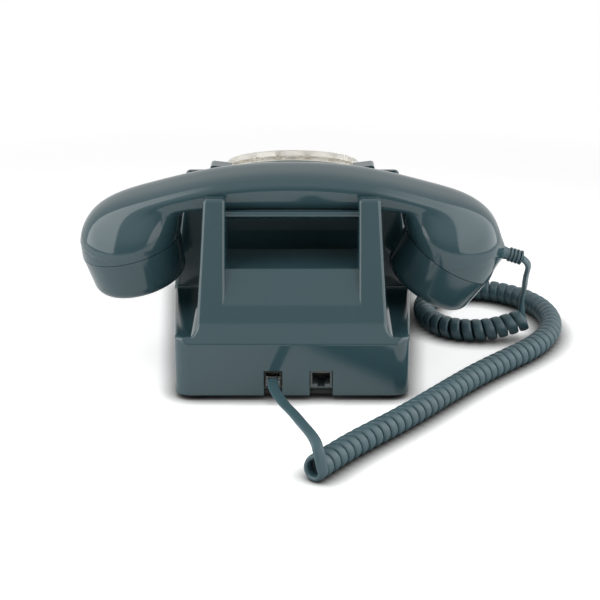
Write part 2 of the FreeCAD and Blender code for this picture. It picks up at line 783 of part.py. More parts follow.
def make_plug():
    """The clear modular plug in the handset's socket, with its latch underneath."""
    body = new_body("cord_plug")
    rear = "-case_depth / 2 + socket_sink - plug_out"
    floor = "(socket_top - socket_frame - mouth_height + fit)"
    sketch = new_sketch(body, "cord_plug_face", "XZ_Plane", f"-({rear})")
    box_outline(sketch, "cord_x - cord_mouth / 2 + fit", "cord_x + cord_mouth / 2 - fit", floor,
                "socket_top - socket_frame - 1")
    pad(body, sketch, "plug_length", reverse=True)
    sketch = new_sketch(body, "cord_plug_latch", "XZ_Plane", f"-({rear} + 1)")
    box_outline(sketch, "cord_x - latch_slot / 2 + 0.3", "cord_x + latch_slot / 2 - 0.3",
                f"{floor} - 1.2", f"{floor} + 0.5")
    pad(body, sketch, "plug_length - 3", reverse=True)
    keep("cord_plug", body)


def make_ringer():
    """Two gongs on posts, the coil in its frame, and the clapper on its pivot."""
    places = [("-gong_x", "gong_y"), ("gong_x", "gong_y")]
    over = Rotation(Vector(1, 0, 0), 180)
    posts = []
    screws = []
    for name, (across, along) in zip(("gong_left", "gong_right"), places):
        hole = "screw_radius + fit"
        gong = [("gong_radius", "0"), ("gong_radius", "gong_height * 0.45"),
                ("gong_radius * 0.86", "gong_height * 0.8"),
                ("gong_radius * 0.55", "gong_height"), (hole, "gong_height"),
                (hole, "gong_height - gong_wall"),
                ("gong_radius * 0.55 - gong_wall / 2", "gong_height - gong_wall"),
                ("gong_radius * 0.86 - gong_wall", "gong_height * 0.8 - gong_wall / 2"),
                ("gong_radius - gong_wall", "gong_height * 0.45"), ("gong_radius - gong_wall", "0")]
        turned(name, gong, Placement(Vector(size(across), size(along), size("gong_lift")), Rotation()))
        post = turned(name + "_post", [("0", PLATE_TOP), ("gong_post_radius + 3", PLATE_TOP),
                                       ("gong_post_radius + 3", f"{PLATE_TOP} + 2"),
                                       ("gong_post_radius", f"{PLATE_TOP} + 4"),
                                       ("gong_post_radius", f"{GONG_TOP} - gong_wall"),
                                       (hole, f"{GONG_TOP} - gong_wall"),
                                       (hole, f"{GONG_TOP} - screw_length - 1"),
                                       ("0", f"{GONG_TOP} - screw_length - 1")])
        post.Placement = Placement(Vector(size(across), size(along), 0), Rotation())
        posts.append(post)
        screws.append(screw(name + "_screw", across, along, GONG_TOP, over))
    keep("gong_posts", group("gong_posts", posts))
    keep("gong_screws", group("gong_screws", screws))

    pivot_y = "(gong_y - clapper_reach)"
    middle = f"({pivot_y} - ringer_gap)"
    lug = "(coil_length / 2 + 0.3)"
    top = "(clapper_height - 3)"
    axis_height = f"({PLATE_TOP} + 2 + coil_radius + 0.5)"
    foot = block("ringer_foot", "-ringer_width / 2", "ringer_width / 2", f"{middle} - ringer_depth / 2",
                 f"{middle} + ringer_depth / 2", PLATE_TOP, f"{PLATE_TOP} + 2")
    lugs = [block("ringer_lug_left", f"-{lug} - 2", f"-{lug}", f"{middle} - 4", f"{pivot_y} + 4",
                  PLATE_TOP, top),
            block("ringer_lug_right", lug, f"{lug} + 2", f"{middle} - 4", f"{pivot_y} + 4", PLATE_TOP,
                  top)]
    yoke = block("ringer_yoke", f"-{lug} - 2", f"{lug} + 2", f"{pivot_y} - 3", f"{pivot_y} + 4",
                 f"{top} - 1.5", top)
    pin_hole = rod("ringer_pin_hole", "pivot_radius + run_clearance", "0", "clapper_height", "0", pivot_y)
    core_hole = doc.addObject("Part::Cylinder", "ringer_core_hole")
    core_hole.setExpression("Radius", bound("coil_core_radius + run_clearance"))
    core_hole.setExpression("Height", bound("ringer_width * 2"))
    sideways = Rotation(Vector(0, 1, 0), 90)
    core_hole.Placement = Placement(Vector(-size("ringer_width"), size(middle), size(axis_height)),
                                    sideways)
    keep("ringer_frame", cut("ringer_frame", fused("ringer_frame_solid", [foot, yoke] + lugs),
                             fused("ringer_frame_holes", [pin_hole, core_hole])))
    coil = [("coil_core_radius + fit", "0"), ("coil_radius", "0"), ("coil_radius", "1.5"),
            ("coil_radius - 1", "1.5"),
            ("coil_radius - 1", "coil_length - 1.5"), ("coil_radius", "coil_length - 1.5"),
            ("coil_radius", "coil_length"), ("coil_core_radius + fit", "coil_length")]
    turned("ringer_coil", coil, Placement(Vector(-size("coil_length / 2"), size(middle),
                                                 size(axis_height)), sideways))
    turned("ringer_core", [("0", "0"), ("coil_core_radius", "0"), ("coil_core_radius", "ringer_width"),
                           ("0", "ringer_width")],
           Placement(Vector(-size("ringer_width / 2"), size(middle), size(axis_height)), sideways))
    turned("clapper_pivot", [("0", f"{top} - 4"), ("pivot_radius", f"{top} - 4"),
                             ("pivot_radius", "clapper_height + 3"),
                             ("0", "clapper_height + 3")],
           Placement(Vector(0, size(pivot_y), 0), Rotation()))

    body = new_body("clapper")
    sketch = new_sketch(body, "clapper_hub", "XY_Plane", "clapper_height - 2.8")
    circle(sketch, "0", "0", "pivot_radius + 2")
    pad(body, sketch, "5.2")
    sketch = new_sketch(body, "clapper_rod", "XZ_Plane")
    circle(sketch, "0", "clapper_height", "clapper_rod")
    pad(body, sketch, "clapper_reach", reverse=True)
    sketch = new_sketch(body, "clapper_bore", "XY_Plane", "clapper_height + 5")
    circle(sketch, "0", "0", "pivot_radius + run_clearance")
    pocket(body, sketch, "10")
    ball = doc.addObject("Part::Sphere", "clapper_ball")
    ball.setExpression("Radius", bound("ball_radius"))
    ball.setExpression("Placement.Base.y", bound("clapper_reach"))
    ball.setExpression("Placement.Base.z", bound("clapper_height"))
    keep("clapper", fused("clapper", [body, ball]), Placement(Vector(0, size(pivot_y), 0), Rotation()))


def gear(name, teeth, module, bottom, top, phase):
    """A spur gear with involute flanks, thinned for backlash, about its own axis."""
    count = round(size(teeth))
    step = size(module)
    pitch = count * step / 2
    pressure = math.radians(size("pressure_angle"))
    base = pitch * math.cos(pressure)
    tip = pitch + size("gear_addendum") * step
    root = pitch - size("gear_dedendum") * step
    half = (math.pi * step / 4 - size("gear_backlash") / 2) / pitch

    def flank(radius):
        angle = math.acos(min(1.0, base / radius))
        return half + math.tan(pressure) - pressure - math.tan(angle) + angle

    start = max(base, root)
    radii = [start + (tip - start) * share for share in (0.0, 0.3, 0.65, 1.0)]
    side = [(root, flank(start))] * (root < start) + [(radius, flank(radius)) for radius in radii]
    tooth = [(radius, -angle) for radius, angle in side] + list(reversed(side))
    corners = []
    for number in range(count):
        turn = 2 * math.pi * number / count + math.radians(phase)
        corners += [Vector(radius * math.cos(turn + angle), radius * math.sin(turn + angle), size(bottom))
                    for radius, angle in tooth]
    wheel = doc.addObject("Part::Feature", name)
    face = Part.Face(Part.makePolygon(corners + corners[:1]))
    wheel.Shape = face.extrude(Vector(0, 0, size(f"{top} - ({bottom})")))
    return wheel


def make_dial_body():
    """The fixed pieces of the dial: drum, number ring, bush, clamp ring, stop, frame plate and spring."""
    turned("dial_drum", [("bush_radius", "drum_height"), ("drum_radius", "drum_height"),
                         ("drum_radius", "flange_thickness"),
                         ("flange_radius", "flange_thickness"), ("flange_radius", "0"),
                         ("skirt_radius", "0"),
                         ("skirt_radius", "-skirt_depth"), ("skirt_radius - 2", "-skirt_depth"),
                         ("skirt_radius - 2", "drum_height - drum_plate"),
                         ("bush_radius", "drum_height - drum_plate")], dial_frame)
    turned("number_ring", [("number_inner", "drum_height"), ("drum_radius - 1", "drum_height"),
                           ("drum_radius - 1", "drum_height + number_thickness"),
                           ("number_inner", "drum_height + number_thickness")], dial_frame)
    bore = "shaft_radius + run_clearance"
    under = "drum_height - drum_plate"
    turned("dial_bush", [(bore, f"{under} - 1.5"), ("bush_radius + 2", f"{under} - 1.5"),
                         ("bush_radius + 2", under),
                         ("bush_radius - run_clearance", under),
                         ("bush_radius - run_clearance", f"{HUB_BOTTOM} - 0.1"),
                         (bore, f"{HUB_BOTTOM} - 0.1")], dial_frame)
    turned("dial_clamp_ring", [("skirt_radius + fit", "-wall - 3"), ("flange_radius", "-wall - 3"),
                               ("flange_radius", "-wall - fit"), ("skirt_radius + fit", "-wall - fit")],
           dial_frame)
    body = new_body("finger_stop")
    sketch = new_sketch(body, "finger_stop_side", "XZ_Plane")
    leg = "(flange_radius + fit)"
    top = "(wheel_bottom + wheel_thickness + 0.6)"
    outline(sketch, [(leg, "0.2"), (f"{leg} + 6", "0.2"), (f"{leg} + 6", "0.2 + stop_thickness"),
                     (f"{leg} + stop_thickness", "0.2 + stop_thickness"),
                     (f"{leg} + stop_thickness", f"{top} + stop_thickness"),
                     (f"{leg} - stop_reach", f"{top} + stop_thickness"), (f"{leg} - stop_reach", top),
                     (leg, top)])
    pad(body, sketch, "stop_width", middle=True)
    turn = Placement(Vector(0, 0, 0), Rotation(Vector(0, 0, 1), size("stop_angle")))
    keep("finger_stop", body, dial_frame.multiply(turn))

    body = new_body("dial_frame_plate")
    sketch = new_sketch(body, "dial_frame_plate_plan", "XY_Plane",
                        "frame_plate_top - frame_plate_thickness")
    circle(sketch, "0", "0", "frame_plate_radius")
    circle(sketch, "0", "0", bore)
    circle(sketch, PULSE_X, "0", "arbor_radius + run_clearance")
    circle(sketch, PULSE_X, GOVERNOR_Y, "arbor_radius + run_clearance")
    for across, along in PILLARS:
        circle(sketch, across, along, "screw_radius + fit")
    pad(body, sketch, "frame_plate_thickness")
    post = rod("spring_post", "arbor_radius", "frame_plate_top - 0.5", "spring_top",
               "spring_inner + spring_turns * spring_step + spring_strip / 2 + arbor_radius + fit")
    keep("dial_frame_plate", fused("dial_frame_plate", [body, post]), dial_frame)
    pillars = []
    screws = []
    for step, (across, along) in enumerate(PILLARS):
        pillar = turned(f"pillar_{step}", [("screw_radius + fit", "frame_plate_top"),
                                           ("pillar_radius", "frame_plate_top"),
                                           ("pillar_radius", under), ("0", under),
                                           ("0", "frame_plate_top + screw_length"),
                                           ("screw_radius + fit", "frame_plate_top + screw_length")])
        pillar.Placement = Placement(Vector(size(across), size(along), 0), Rotation())
        pillars.append(pillar)
        screws.append(screw(f"dial_screw_{step}", across, along,
                            "frame_plate_top - frame_plate_thickness"))
    keep("dial_pillars", group("dial_pillars", pillars), dial_frame)
    keep("dial_screws", group("dial_screws", screws), dial_frame)
    cup = "governor_drum + 0.8"
    turned("governor_cup", [("arbor_radius + 0.5", "frame_plate_top"), (cup, "frame_plate_top"),
                            (cup, "frame_plate_top + governor_height + 3"),
                            ("governor_drum", "frame_plate_top + governor_height + 3"),
                            ("governor_drum", "frame_plate_top + 1"),
                            ("arbor_radius + 0.5", "frame_plate_top + 1")],
           dial_frame.multiply(Placement(Vector(size(PULSE_X), size(GOVERNOR_Y), 0), Rotation())))

    # a flat spiral of half circles whose radius grows by half a step each
    strip = size("spring_strip") / 2
    growth = size("spring_step") / 2
    sides = {-strip: [], strip: []}
    for number in range(round(2 * size("spring_turns"))):
        radius = size("spring_inner") + number * growth
        sign = 1 if number % 2 == 0 else -1
        middle = 0.0 if number % 2 == 0 else growth
        for offset, edges in sides.items():
            reach = radius + offset
            edges.append(Part.Arc(Vector(middle + sign * reach, 0, 0), Vector(middle, sign * reach, 0),
                                  Vector(middle - sign * reach, 0, 0)).toShape())
    inner, outer = sides[-strip], sides[strip]
    caps = [Part.makeLine(inner[0].valueAt(inner[0].FirstParameter),
                          outer[0].valueAt(outer[0].FirstParameter)),
            Part.makeLine(inner[-1].valueAt(inner[-1].LastParameter),
                          outer[-1].valueAt(outer[-1].LastParameter))]
    spiral = doc.addObject("Part::Feature", "return_spring")
    face = Part.Face(Part.Wire(Part.__sortEdges__(inner + outer + caps)))
    spiral.Shape = face.extrude(Vector(0, 0, -size("spring_width")))
    keep("return_spring", spiral, dial_frame.multiply(Placement(Vector(0, 0, size("spring_top")),
                                                                Rotation())))


def make_dial_rotor():
    """What turns with the finger wheel, and the two arbors that it drives."""
    body = new_body("finger_wheel")
    sketch = new_sketch(body, "finger_wheel_plan", "XY_Plane", "wheel_bottom")
    circle(sketch, "0", "0", "wheel_radius")
    circle(sketch, "0", "0", "bush_radius + fit")
    pad(body, sketch, "wheel_thickness")
    sketch = new_sketch(body, "finger_wheel_hole", "XY_Plane", "wheel_bottom + wheel_thickness")
    first = "stop_angle + 2 * finger_step"
    circle(sketch, f"finger_circle * cos({first})", f"finger_circle * sin({first})", "finger_hole")
    hole = pocket(body, sketch, "wheel_thickness + 1")
    repeat_round(body, hole, sketch, "finger_count", "finger_step * (finger_count - 1)")
    keep("finger_wheel", body, dial_frame)
    turned("dial_shaft", [("0", "frame_plate_top - frame_plate_thickness"),
                          ("shaft_radius", "frame_plate_top - frame_plate_thickness"),
                          ("shaft_radius", HUB_BOTTOM), ("hub_radius", HUB_BOTTOM),
                          ("hub_radius", "wheel_bottom"),
                          ("bush_radius", "wheel_bottom"),
                          ("bush_radius", "wheel_bottom + wheel_thickness"),
                          ("0", "wheel_bottom + wheel_thickness")], dial_frame)
    top = "wheel_bottom + wheel_thickness"
    turned("dial_centre", [("0", top), ("centre_radius", top),
                           ("centre_radius", f"{top} + centre_height - 0.6"),
                           ("centre_radius - 0.6", f"{top} + centre_height"),
                           ("0", f"{top} + centre_height")], dial_frame)
    wheel = gear("main_gear_blank", "main_teeth", "gear_module", "main_gear_top - gear_width",
                 "main_gear_top", 0)
    bore = rod("main_gear_bore", "shaft_radius + run_clearance", "main_gear_top - 2 * gear_width",
               "main_gear_top + gear_width")
    keep("main_gear", cut("main_gear", wheel, bore), dial_frame)

    pinion = gear("pulse_pinion", "pulse_teeth", "gear_module", "main_gear_top - gear_width - 0.5",
                  "main_gear_top + 0.5", 15)
    follower = gear("pulse_wheel", "pulse_wheel_teeth", "governor_module", "pulse_wheel_top - gear_width",
                    "pulse_wheel_top", 0)
    cam = rod("pulse_cam", "5", "pulse_wheel_top - gear_width - 2.5", "pulse_wheel_top - gear_width",
              "1.5")
    stem = rod("pulse_stem", "arbor_radius", "frame_plate_top - frame_plate_thickness",
               "drum_height - drum_plate - fit")
    keep("pulse_arbor", fused("pulse_arbor", [pinion, follower, cam, stem]),
         dial_frame.multiply(Placement(Vector(size(PULSE_X), 0, 0), Rotation())))
    pinion = gear("governor_pinion", "governor_teeth", "governor_module",
                  "pulse_wheel_top - gear_width - 0.5",
                  "pulse_wheel_top + 0.5", 15)
    stem = rod("governor_stem", "arbor_radius", "frame_plate_top - frame_plate_thickness",
               "pulse_wheel_top + 2")
    low = "frame_plate_top + 2"
    weight = rod("governor_ring", "governor_drum - 0.6", low, f"{low} + governor_height")
    slot = block("governor_slot", "-governor_drum", "governor_drum", "-1.2", "1.2", f"{low} + 1.5",
                 f"{low} + 2 * governor_height")
    keep("governor", fused("governor", [pinion, stem, cut("governor_weights", weight, slot)]),
         dial_frame.multiply(Placement(Vector(size(PULSE_X), size(GOVERNOR_Y), 0), Rotation())))


def make_hook():
    """The plungers that the handset presses, their bar, its springs, bracket and switch."""
    top = "handset_height - 0.7"
    for name, (across, along) in zip(("plunger_left", "plunger_right"), PLUNGERS):
        turned(name, [("0", "bar_height"), ("plunger_radius", "bar_height"),
                      ("plunger_radius", f"{top} - 1"),
                      ("plunger_radius - 1", top), ("0", top)],
               Placement(Vector(size(across), size(along), 0), Rotation()))
    keep("hook_bar", block("hook_bar", "-plunger_x - bar_width / 2", "plunger_x + bar_width / 2",
                           "plunger_y - bar_width / 2",
                           "plunger_y + bar_width / 2", "bar_height - bar_thickness", "bar_height"))
    deck = block("bracket_deck", "-plunger_x - 6", "plunger_x + 6", "plunger_y - bracket_depth / 2",
                 "plunger_y + bracket_depth / 2", "spring_seat - bracket_thickness", "spring_seat")
    legs = [block("bracket_leg_left", "-plunger_x - 6", "-plunger_x - 4", "plunger_y - bracket_depth / 2",
                  "plunger_y + bracket_depth / 2", PLATE_TOP, "spring_seat"),
            block("bracket_leg_right", "plunger_x + 4", "plunger_x + 6", "plunger_y - bracket_depth / 2",
                  "plunger_y + bracket_depth / 2", PLATE_TOP, "spring_seat")]
    keep("hook_bracket", fused("hook_bracket", [deck] + legs))
    switch = block("switch_case", "-switch_length / 2", "switch_length / 2",
                   "plunger_y - switch_width / 2",
                   "plunger_y + switch_width / 2", "spring_seat", "spring_seat + switch_height")
    button = rod("switch_button", "1.2", "spring_seat + switch_height",
                 "bar_height - bar_thickness - 0.2", "0", "plunger_y")
    keep("hook_switch", fused("hook_switch", [switch, button]))
    springs = []
    wire = size("hook_spring_wire")
    low = size("spring_seat") + wire / 2 + 0.05
    high = size("bar_height - bar_thickness") - wire / 2 - 0.05
    for step, (across, along) in enumerate(PLUNGERS):
        axis = Part.Wire(Part.makeLine(Vector(size(across), size(along), low),
                                       Vector(size(across), size(along), high)))
        spring = doc.addObject("Part::Feature", f"hook_spring_{step}")
        spring.Shape = tube(curl_path(axis, size("hook_spring_radius") - wire / 2, Vector(1, 0, 0),
                                      2 * math.pi * size("hook_spring_turns"), 0.0, 0.0), wire)
        springs.append(spring)
    keep("hook_springs", group("hook_springs", springs))


def biarc(start, start_way, end, end_way):
    """Two arcs that leave the start and reach the end along given directions."""
    span = end - start
    both = start_way + end_way
    turn = 2 * (1 - start_way.dot(end_way))
    reach = (-span.dot(both) + math.sqrt(span.dot(both) ** 2 + turn * span.dot(span))) / turn
    joint = (start + start_way * reach + end - end_way * reach) * 0.5
    return [arc_from(start, start_way, joint), arc_from(end, end_way * -1, joint, True)]


def arc_from(start, way, end, backwards=False):
    """The arc that leaves the start along a direction and passes through the end."""
    chord = end - start
    along = Vector(chord).normalize()
    across = way - along * way.dot(along)
    bulge = chord.Length / 2 * math.tan(way.getAngle(chord) / 2)
    middle = (start + end) * 0.5 + across.normalize() * bulge
    first, last = (end, start) if backwards else (start, end)
    return Part.Arc(first, middle, last).toShape()


def route_wire(points, name):
    """Straight runs joined by tangent arcs as large as the runs allow; prints the radii."""
    edges = []
    radii = []
    begin = points[0]
    for before, here, after in zip(points, points[1:], points[2:]):
        back = before - here
        ahead = after - here
        half = (math.pi - back.getAngle(ahead)) / 2
        reach = 0.45 * min(back.Length, ahead.Length)
        radii.append(reach / math.tan(half))
        enter = here + Vector(back).normalize() * reach
        leave = here + Vector(ahead).normalize() * reach
        inside = (Vector(back).normalize() + Vector(ahead).normalize()).normalize()
        middle = here + inside * (radii[-1] / math.cos(half) - radii[-1])
        edges.append(Part.makeLine(begin, enter))
        edges.append(Part.Arc(enter, middle, leave).toShape())
        begin = leave
    edges.append(Part.makeLine(begin, points[-1]))
    print(name, "radii", [round(radius, 1) for radius in radii])
    return Part.Wire(edges)


def at_length(wire, distance):
    """The place and direction at a distance along a wire."""
    for edge in wire.OrderedEdges:
        if distance <= edge.Length + 1e-6:
            break
        distance -= edge.Length
    place = edge.getParameterByLength(min(max(distance, 0.0), edge.Length))
    return edge.valueAt(place), edge.tangentAt(place).normalize()


def curl_point(axis, radius, up, total, phase, share):
    """A place on a helix about the axis wire, at a share of its length."""
    middle, way = at_length(axis, axis.Length * share)
    side = way.cross(up).normalize()
    rise = side.cross(way).normalize()
    angle = phase + total * share
    return middle + rise * (radius * math.cos(angle)) + side * (radius * math.sin(angle))


def curl_path(axis, radius, up, total, phase, straight):
    """A right-handed helix about the axis wire, on biarcs of half a turn, with straight ends."""
    steps = math.ceil(total / math.pi)
    tiny = 1e-4

    def place(share):
        return curl_point(axis, radius, up, total, phase, share)

    def way(share):
        low, high = max(0.0, share - tiny), min(1.0, share + tiny)
        return (place(high) - place(low)).normalize()

    shares = [step / steps for step in range(steps + 1)]
    edges = []
    for low, high in zip(shares, shares[1:]):
        edges += biarc(place(low), way(low), place(high), way(high))
    if straight:
        edges.insert(0, Part.makeLine(place(0) - way(0) * straight, place(0)))
        edges.append(Part.makeLine(place(1), place(1) + way(1) * straight))
    return Part.Wire(edges)


def tube(path, diameter):
    """A round tube along a path; its volume is compared with its section times its length."""
    start, way = at_length(path, 0.0)
    shell = Part.BRepOffsetAPI.MakePipeShell(path)
    shell.add(Part.Wire(Part.makeCircle(diameter / 2, start, way)))
    shell.build()
    shell.makeSolid()
    solid = shell.shape()
    ideal = math.pi * diameter ** 2 / 4 * path.Length
    print("tube volume over section times length", round(solid.Volume / ideal, 4))
    return solid


def grip_section(across, half, bottom, top, corner):
    """One cross section of the grip: a rectangle with rounded corners, square to X."""
    corner = min(corner, half - 0.5, (top - bottom) / 2 - 0.5)
    soft = corner * (1 - math.sqrt(0.5))
    edges = []
    corners = [(half, bottom, 1, -1), (half, top, 1, 1), (-half, top, -1, 1), (-half, bottom, -1, -1)]
    last = None
    for side, height, right, up in corners:
        flat = Vector(across, side - right * corner, height)
        wall = Vector(across, side, height - up * corner)
        bend = Vector(across, side - right * soft, height - up * soft)
        enter, leave = (flat, wall) if right * up < 0 else (wall, flat)
        if last:
            edges.append(Part.makeLine(last, enter))
        else:
            first = enter
        edges.append(Part.Arc(enter, bend, leave).toShape())
        last = leave
    edges.append(Part.makeLine(last, first))
    return Part.Wire(edges)


def grip_solid(inset):
    """The arched grip, from ear to ear, drawn in by the inset."""
    arc = size("grip_arc")
    stations = [(0.0, "grip_half_width", 0.0), (40.0, "grip_half_width + 0.5", 0.0),
                (size("neck_x"), "neck_half_width", -size("neck_drop")),
                (size("neck_x + 20"), "neck_half_width", -size("ear_drop") * 0.6),
                (size("ear_x + 6"), "neck_half_width - 7", -size("ear_drop") * 0.9)]
    sections = []
    for across, half, bottom in stations:
        top = size("grip_top") - arc + math.sqrt(arc ** 2 - across ** 2)
        for side in ((-1, 1) if across else (1,)):
            sections.append((side * across, size(half) - inset, bottom + inset, top - inset))
    sections.sort()
    return Part.makeLoft([grip_section(*section, size("grip_round") - inset) for section in sections],
                         True, False)


def ear_places():
    """Each ear's frame at the middle of its ball, and its seam's height above that."""
    return [(receiver_frame, size("receiver_seam")), (transmitter_frame, size("transmitter_seam"))]


def make_handset_shell():
    """The hollow handset moulding, open at both ears for the caps."""
    outside = grip_solid(0.0)
    inside = grip_solid(size("shell_wall"))
    radius = size("ear_radius")
    for frame, seam in ear_places():
        local = handset_frame.inverse().multiply(frame)
        ball = Part.makeSphere(radius, local.Base)
        hollow = Part.makeSphere(radius - size("shell_wall"), local.Base)
        below = Part.makeCylinder(2 * radius, 3 * radius, Vector(0, 0, seam), Vector(0, 0, -1))
        below.Placement = local.multiply(below.Placement)
        outside = outside.fuse(ball).cut(below)
        inside = inside.fuse(hollow)
    passage = Part.makeCylinder(size("cord_wire / 2 + 0.5"), radius, relief_place, relief_way * -1)
    shell = doc.addObject("Part::Feature", "handset_shell")
    shell.Shape = outside.cut(inside).cut(passage).removeSplitter()
    keep("handset_shell", shell, handset_frame)


def make_cap(name, kind, frame):
    """A screwed cap: drawn-in sides, rounded rim, sound holes and a spigot inside the shell."""
    seam = f"{kind}_seam"
    rim = f"sqrt(ear_radius ^ 2 - {seam} ^ 2)"
    top = f"({seam} - seam_gap)"
    floor = f"({seam} - {kind}_depth)"
    spigot = f"({seam} + spigot_height)"
    body = new_body(name)
    sketch = new_sketch(body, name + "_profile", "XZ_Plane")
    outline(sketch, [("0", floor), (f"{rim} - cap_taper", floor), (rim, top), ("spigot_radius", top),
                     ("spigot_radius", spigot), ("spigot_radius - cap_wall", spigot),
                     ("spigot_radius - cap_wall", f"{floor} + cap_wall"), ("0", f"{floor} + cap_wall")])
    revolve(body, sketch)
    low = size(floor)
    round_edges(body, name + "_rim", "cap_round",
                lambda edge: abs(edge.CenterOfMass.z - low) < 0.01 and edge.BoundBox.XLength > 30
                and edge.BoundBox.ZLength < 0.01)
    sketch = new_sketch(body, name + "_middle_hole", "XY_Plane", f"{floor} + cap_wall + 1")
    circle(sketch, "0", "0", f"{kind}_hole")
    pocket(body, sketch, "cap_wall + 2")
    sketch = new_sketch(body, name + "_hole", "XY_Plane", f"{floor} + cap_wall + 1")
    circle(sketch, f"{kind}_hole_circle", "0", f"{kind}_hole")
    hole = pocket(body, sketch, "cap_wall + 2")
    repeat_round(body, hole, sketch, f"{kind}_holes")
    keep(name, body, frame)
    seat = f"({floor} + cap_wall + fit)"
    turned(f"{kind}_capsule", [("0", seat), ("capsule_radius", seat),
                               ("capsule_radius", f"{seat} + capsule_height - 2"),
                               ("capsule_radius - 4", f"{seat} + capsule_height"),
                               ("0", f"{seat} + capsule_height")], frame)


def make_handset():
    """The handset's shell, caps, capsules, weight and the cord's strain relief."""
    make_handset_shell()
    make_cap("ear_cap", "receiver", receiver_frame)
    make_cap("mouth_cap", "transmitter", transmitter_frame)
    body = new_body("handset_weight")
    sketch = new_sketch(body, "handset_weight_plan", "XY_Plane", "shell_wall + fit")
    box_outline(sketch, "-weight_length / 2", "weight_length / 2", "-weight_width / 2", "weight_width / 2")
    pad(body, sketch, "weight_height")
    keep("handset_weight", body, handset_frame)

    # ribs stand between the grooves along the tapering sleeve
    count = round(size("relief_ribs"))
    length, groove = size("relief_length"), size("relief_groove")
    root, radius = size("relief_root"), size("relief_radius")
    start = length * 0.42
    pitch = (length - start - groove) / count
    profile = [(0.0, -4.0), (root + 2.0, -4.0), (root + 2.0, 0.0), (root - 0.6, 2.0),
               (radius + 0.5, start)]
    for number in range(count):
        low = start + number * pitch
        profile += [(radius - 1.3, low + 0.05), (radius - 1.3, low + groove), (radius, low + groove),
                    (radius, low + pitch)]
    profile += [(radius, length), (0.0, length)]
    wire = Part.makePolygon([Vector(across, 0, up) for across, up in profile + profile[:1]])
    sleeve = Part.Face(wire).revolve(Vector(0, 0, 0), Vector(0, 0, 1), 360)
    sleeve.Placement = Placement(relief_place, Rotation(Vector(0, 0, 1), relief_way))
    ball = Part.makeSphere(size("ear_radius + fit"), Vector(size("ear_x"), 0, -size("ear_drop")))
    relief = doc.addObject("Part::Feature", "strain_relief")
    relief.Shape = sleeve.cut(ball)
    keep("strain_relief", relief, handset_frame)


# The free cord, by hand: from the plug to the curls, along the curls' middle, and up to the handset
LEAD = [(-10.4, -115.0, 12.6), (-8.3, -127.5, 13.4), (-4.3, -147.0, 15.6), (0.8, -165.0, 18.0),
        (4.8, -181.0, 19.6)]
CURLS = [(11.0, -209.0), (27.0, -184.5), (44.5, -163.0), (62.5, -140.5), (82.0, -113.0), (102.5, -84.5),
         (122.5, -61.0), (139.5, -42.0), (152.0, -21.0), (158.0, 1.0), (157.0, 24.0), (149.0, 44.0),
         (136.0, 58.5), (119.0, 66.5), (101.0, 65.0), (88.0, 53.0), (82.0, 36.0), (81.5, 19.0),
         (85.5, 3.0), (95.0, -8.0), (108.5, -12.0)]
CURLS_RISING = [(124.0, -11.5, 8.2), (139.5, -8.6, 13.2)]
DROP = [(138.2, -13.0, 34.4), (136.4, -26.0, 44.0), (136.0, -36.0, 53.0)]
FIRST_CURL = math.radians(78)
LAST_CURL = math.radians(270)


def make_cord():
    """The handset's cord: a plain lead, the curls in one tube, and the rise to the handset."""
    wire = size("cord_wire")
    radius = size("coil_outer - cord_wire") / 2
    up = Vector(0, 0, 1)
    lying = [Vector(across, along, size("coil_outer / 2 + fit")) for across, along in CURLS]
    axis = route_wire(lying + [Vector(*point) for point in CURLS_RISING], "curls")
    turns = round(axis.Length / size("curl_pitch"))
    total = 2 * math.pi * turns + LAST_CURL - FIRST_CURL
    path = curl_path(axis, radius, up, total, FIRST_CURL, wire)
    samples = [curl_point(axis, radius, up, total, FIRST_CURL, step / (24 * turns))
               for step in range(24 * turns + 1)]
    near = min((samples[low] - samples[high]).Length for low in range(len(samples))
               for high in range(low + 14, len(samples)) if abs(samples[low].x - samples[high].x) < 12)
    print("curls", turns, "least gap", round(near - wire, 2), "axis", round(axis.Length), "wire",
          round(path.Length))
    plug = Vector(size("cord_x"), size("-case_depth / 2 + socket_sink - plug_out - fit"), 12.5)
    ends = [at_length(path, 0.0), at_length(path, path.Length)]
    low = ends[0][0] - ends[0][1] * 8
    lead = [plug] + [Vector(*point) for point in LEAD] + [low + Vector(-1.7, 6.0, 5.8), low,
                                                          ends[0][0] - ends[0][1] * 0.1]
    relief_end = handset_frame.multVec(relief_place + relief_way * size("relief_length"))
    outward = handset_frame.Rotation.multVec(relief_way)
    drop = [ends[1][0] + ends[1][1] * 0.1,
            ends[1][0] + ends[1][1] * 9] + [Vector(*point) for point in DROP]
    drop += [relief_end + outward * 6, relief_end + outward * 0.1]
    for name, route in (("cord_lead", route_wire(lead, "lead")), ("cord_curls", path),
                        ("cord_drop", route_wire(drop, "drop"))):
        piece = doc.addObject("Part::Feature", name)
        piece.Shape = tube(route, wire)
        keep(name, piece)


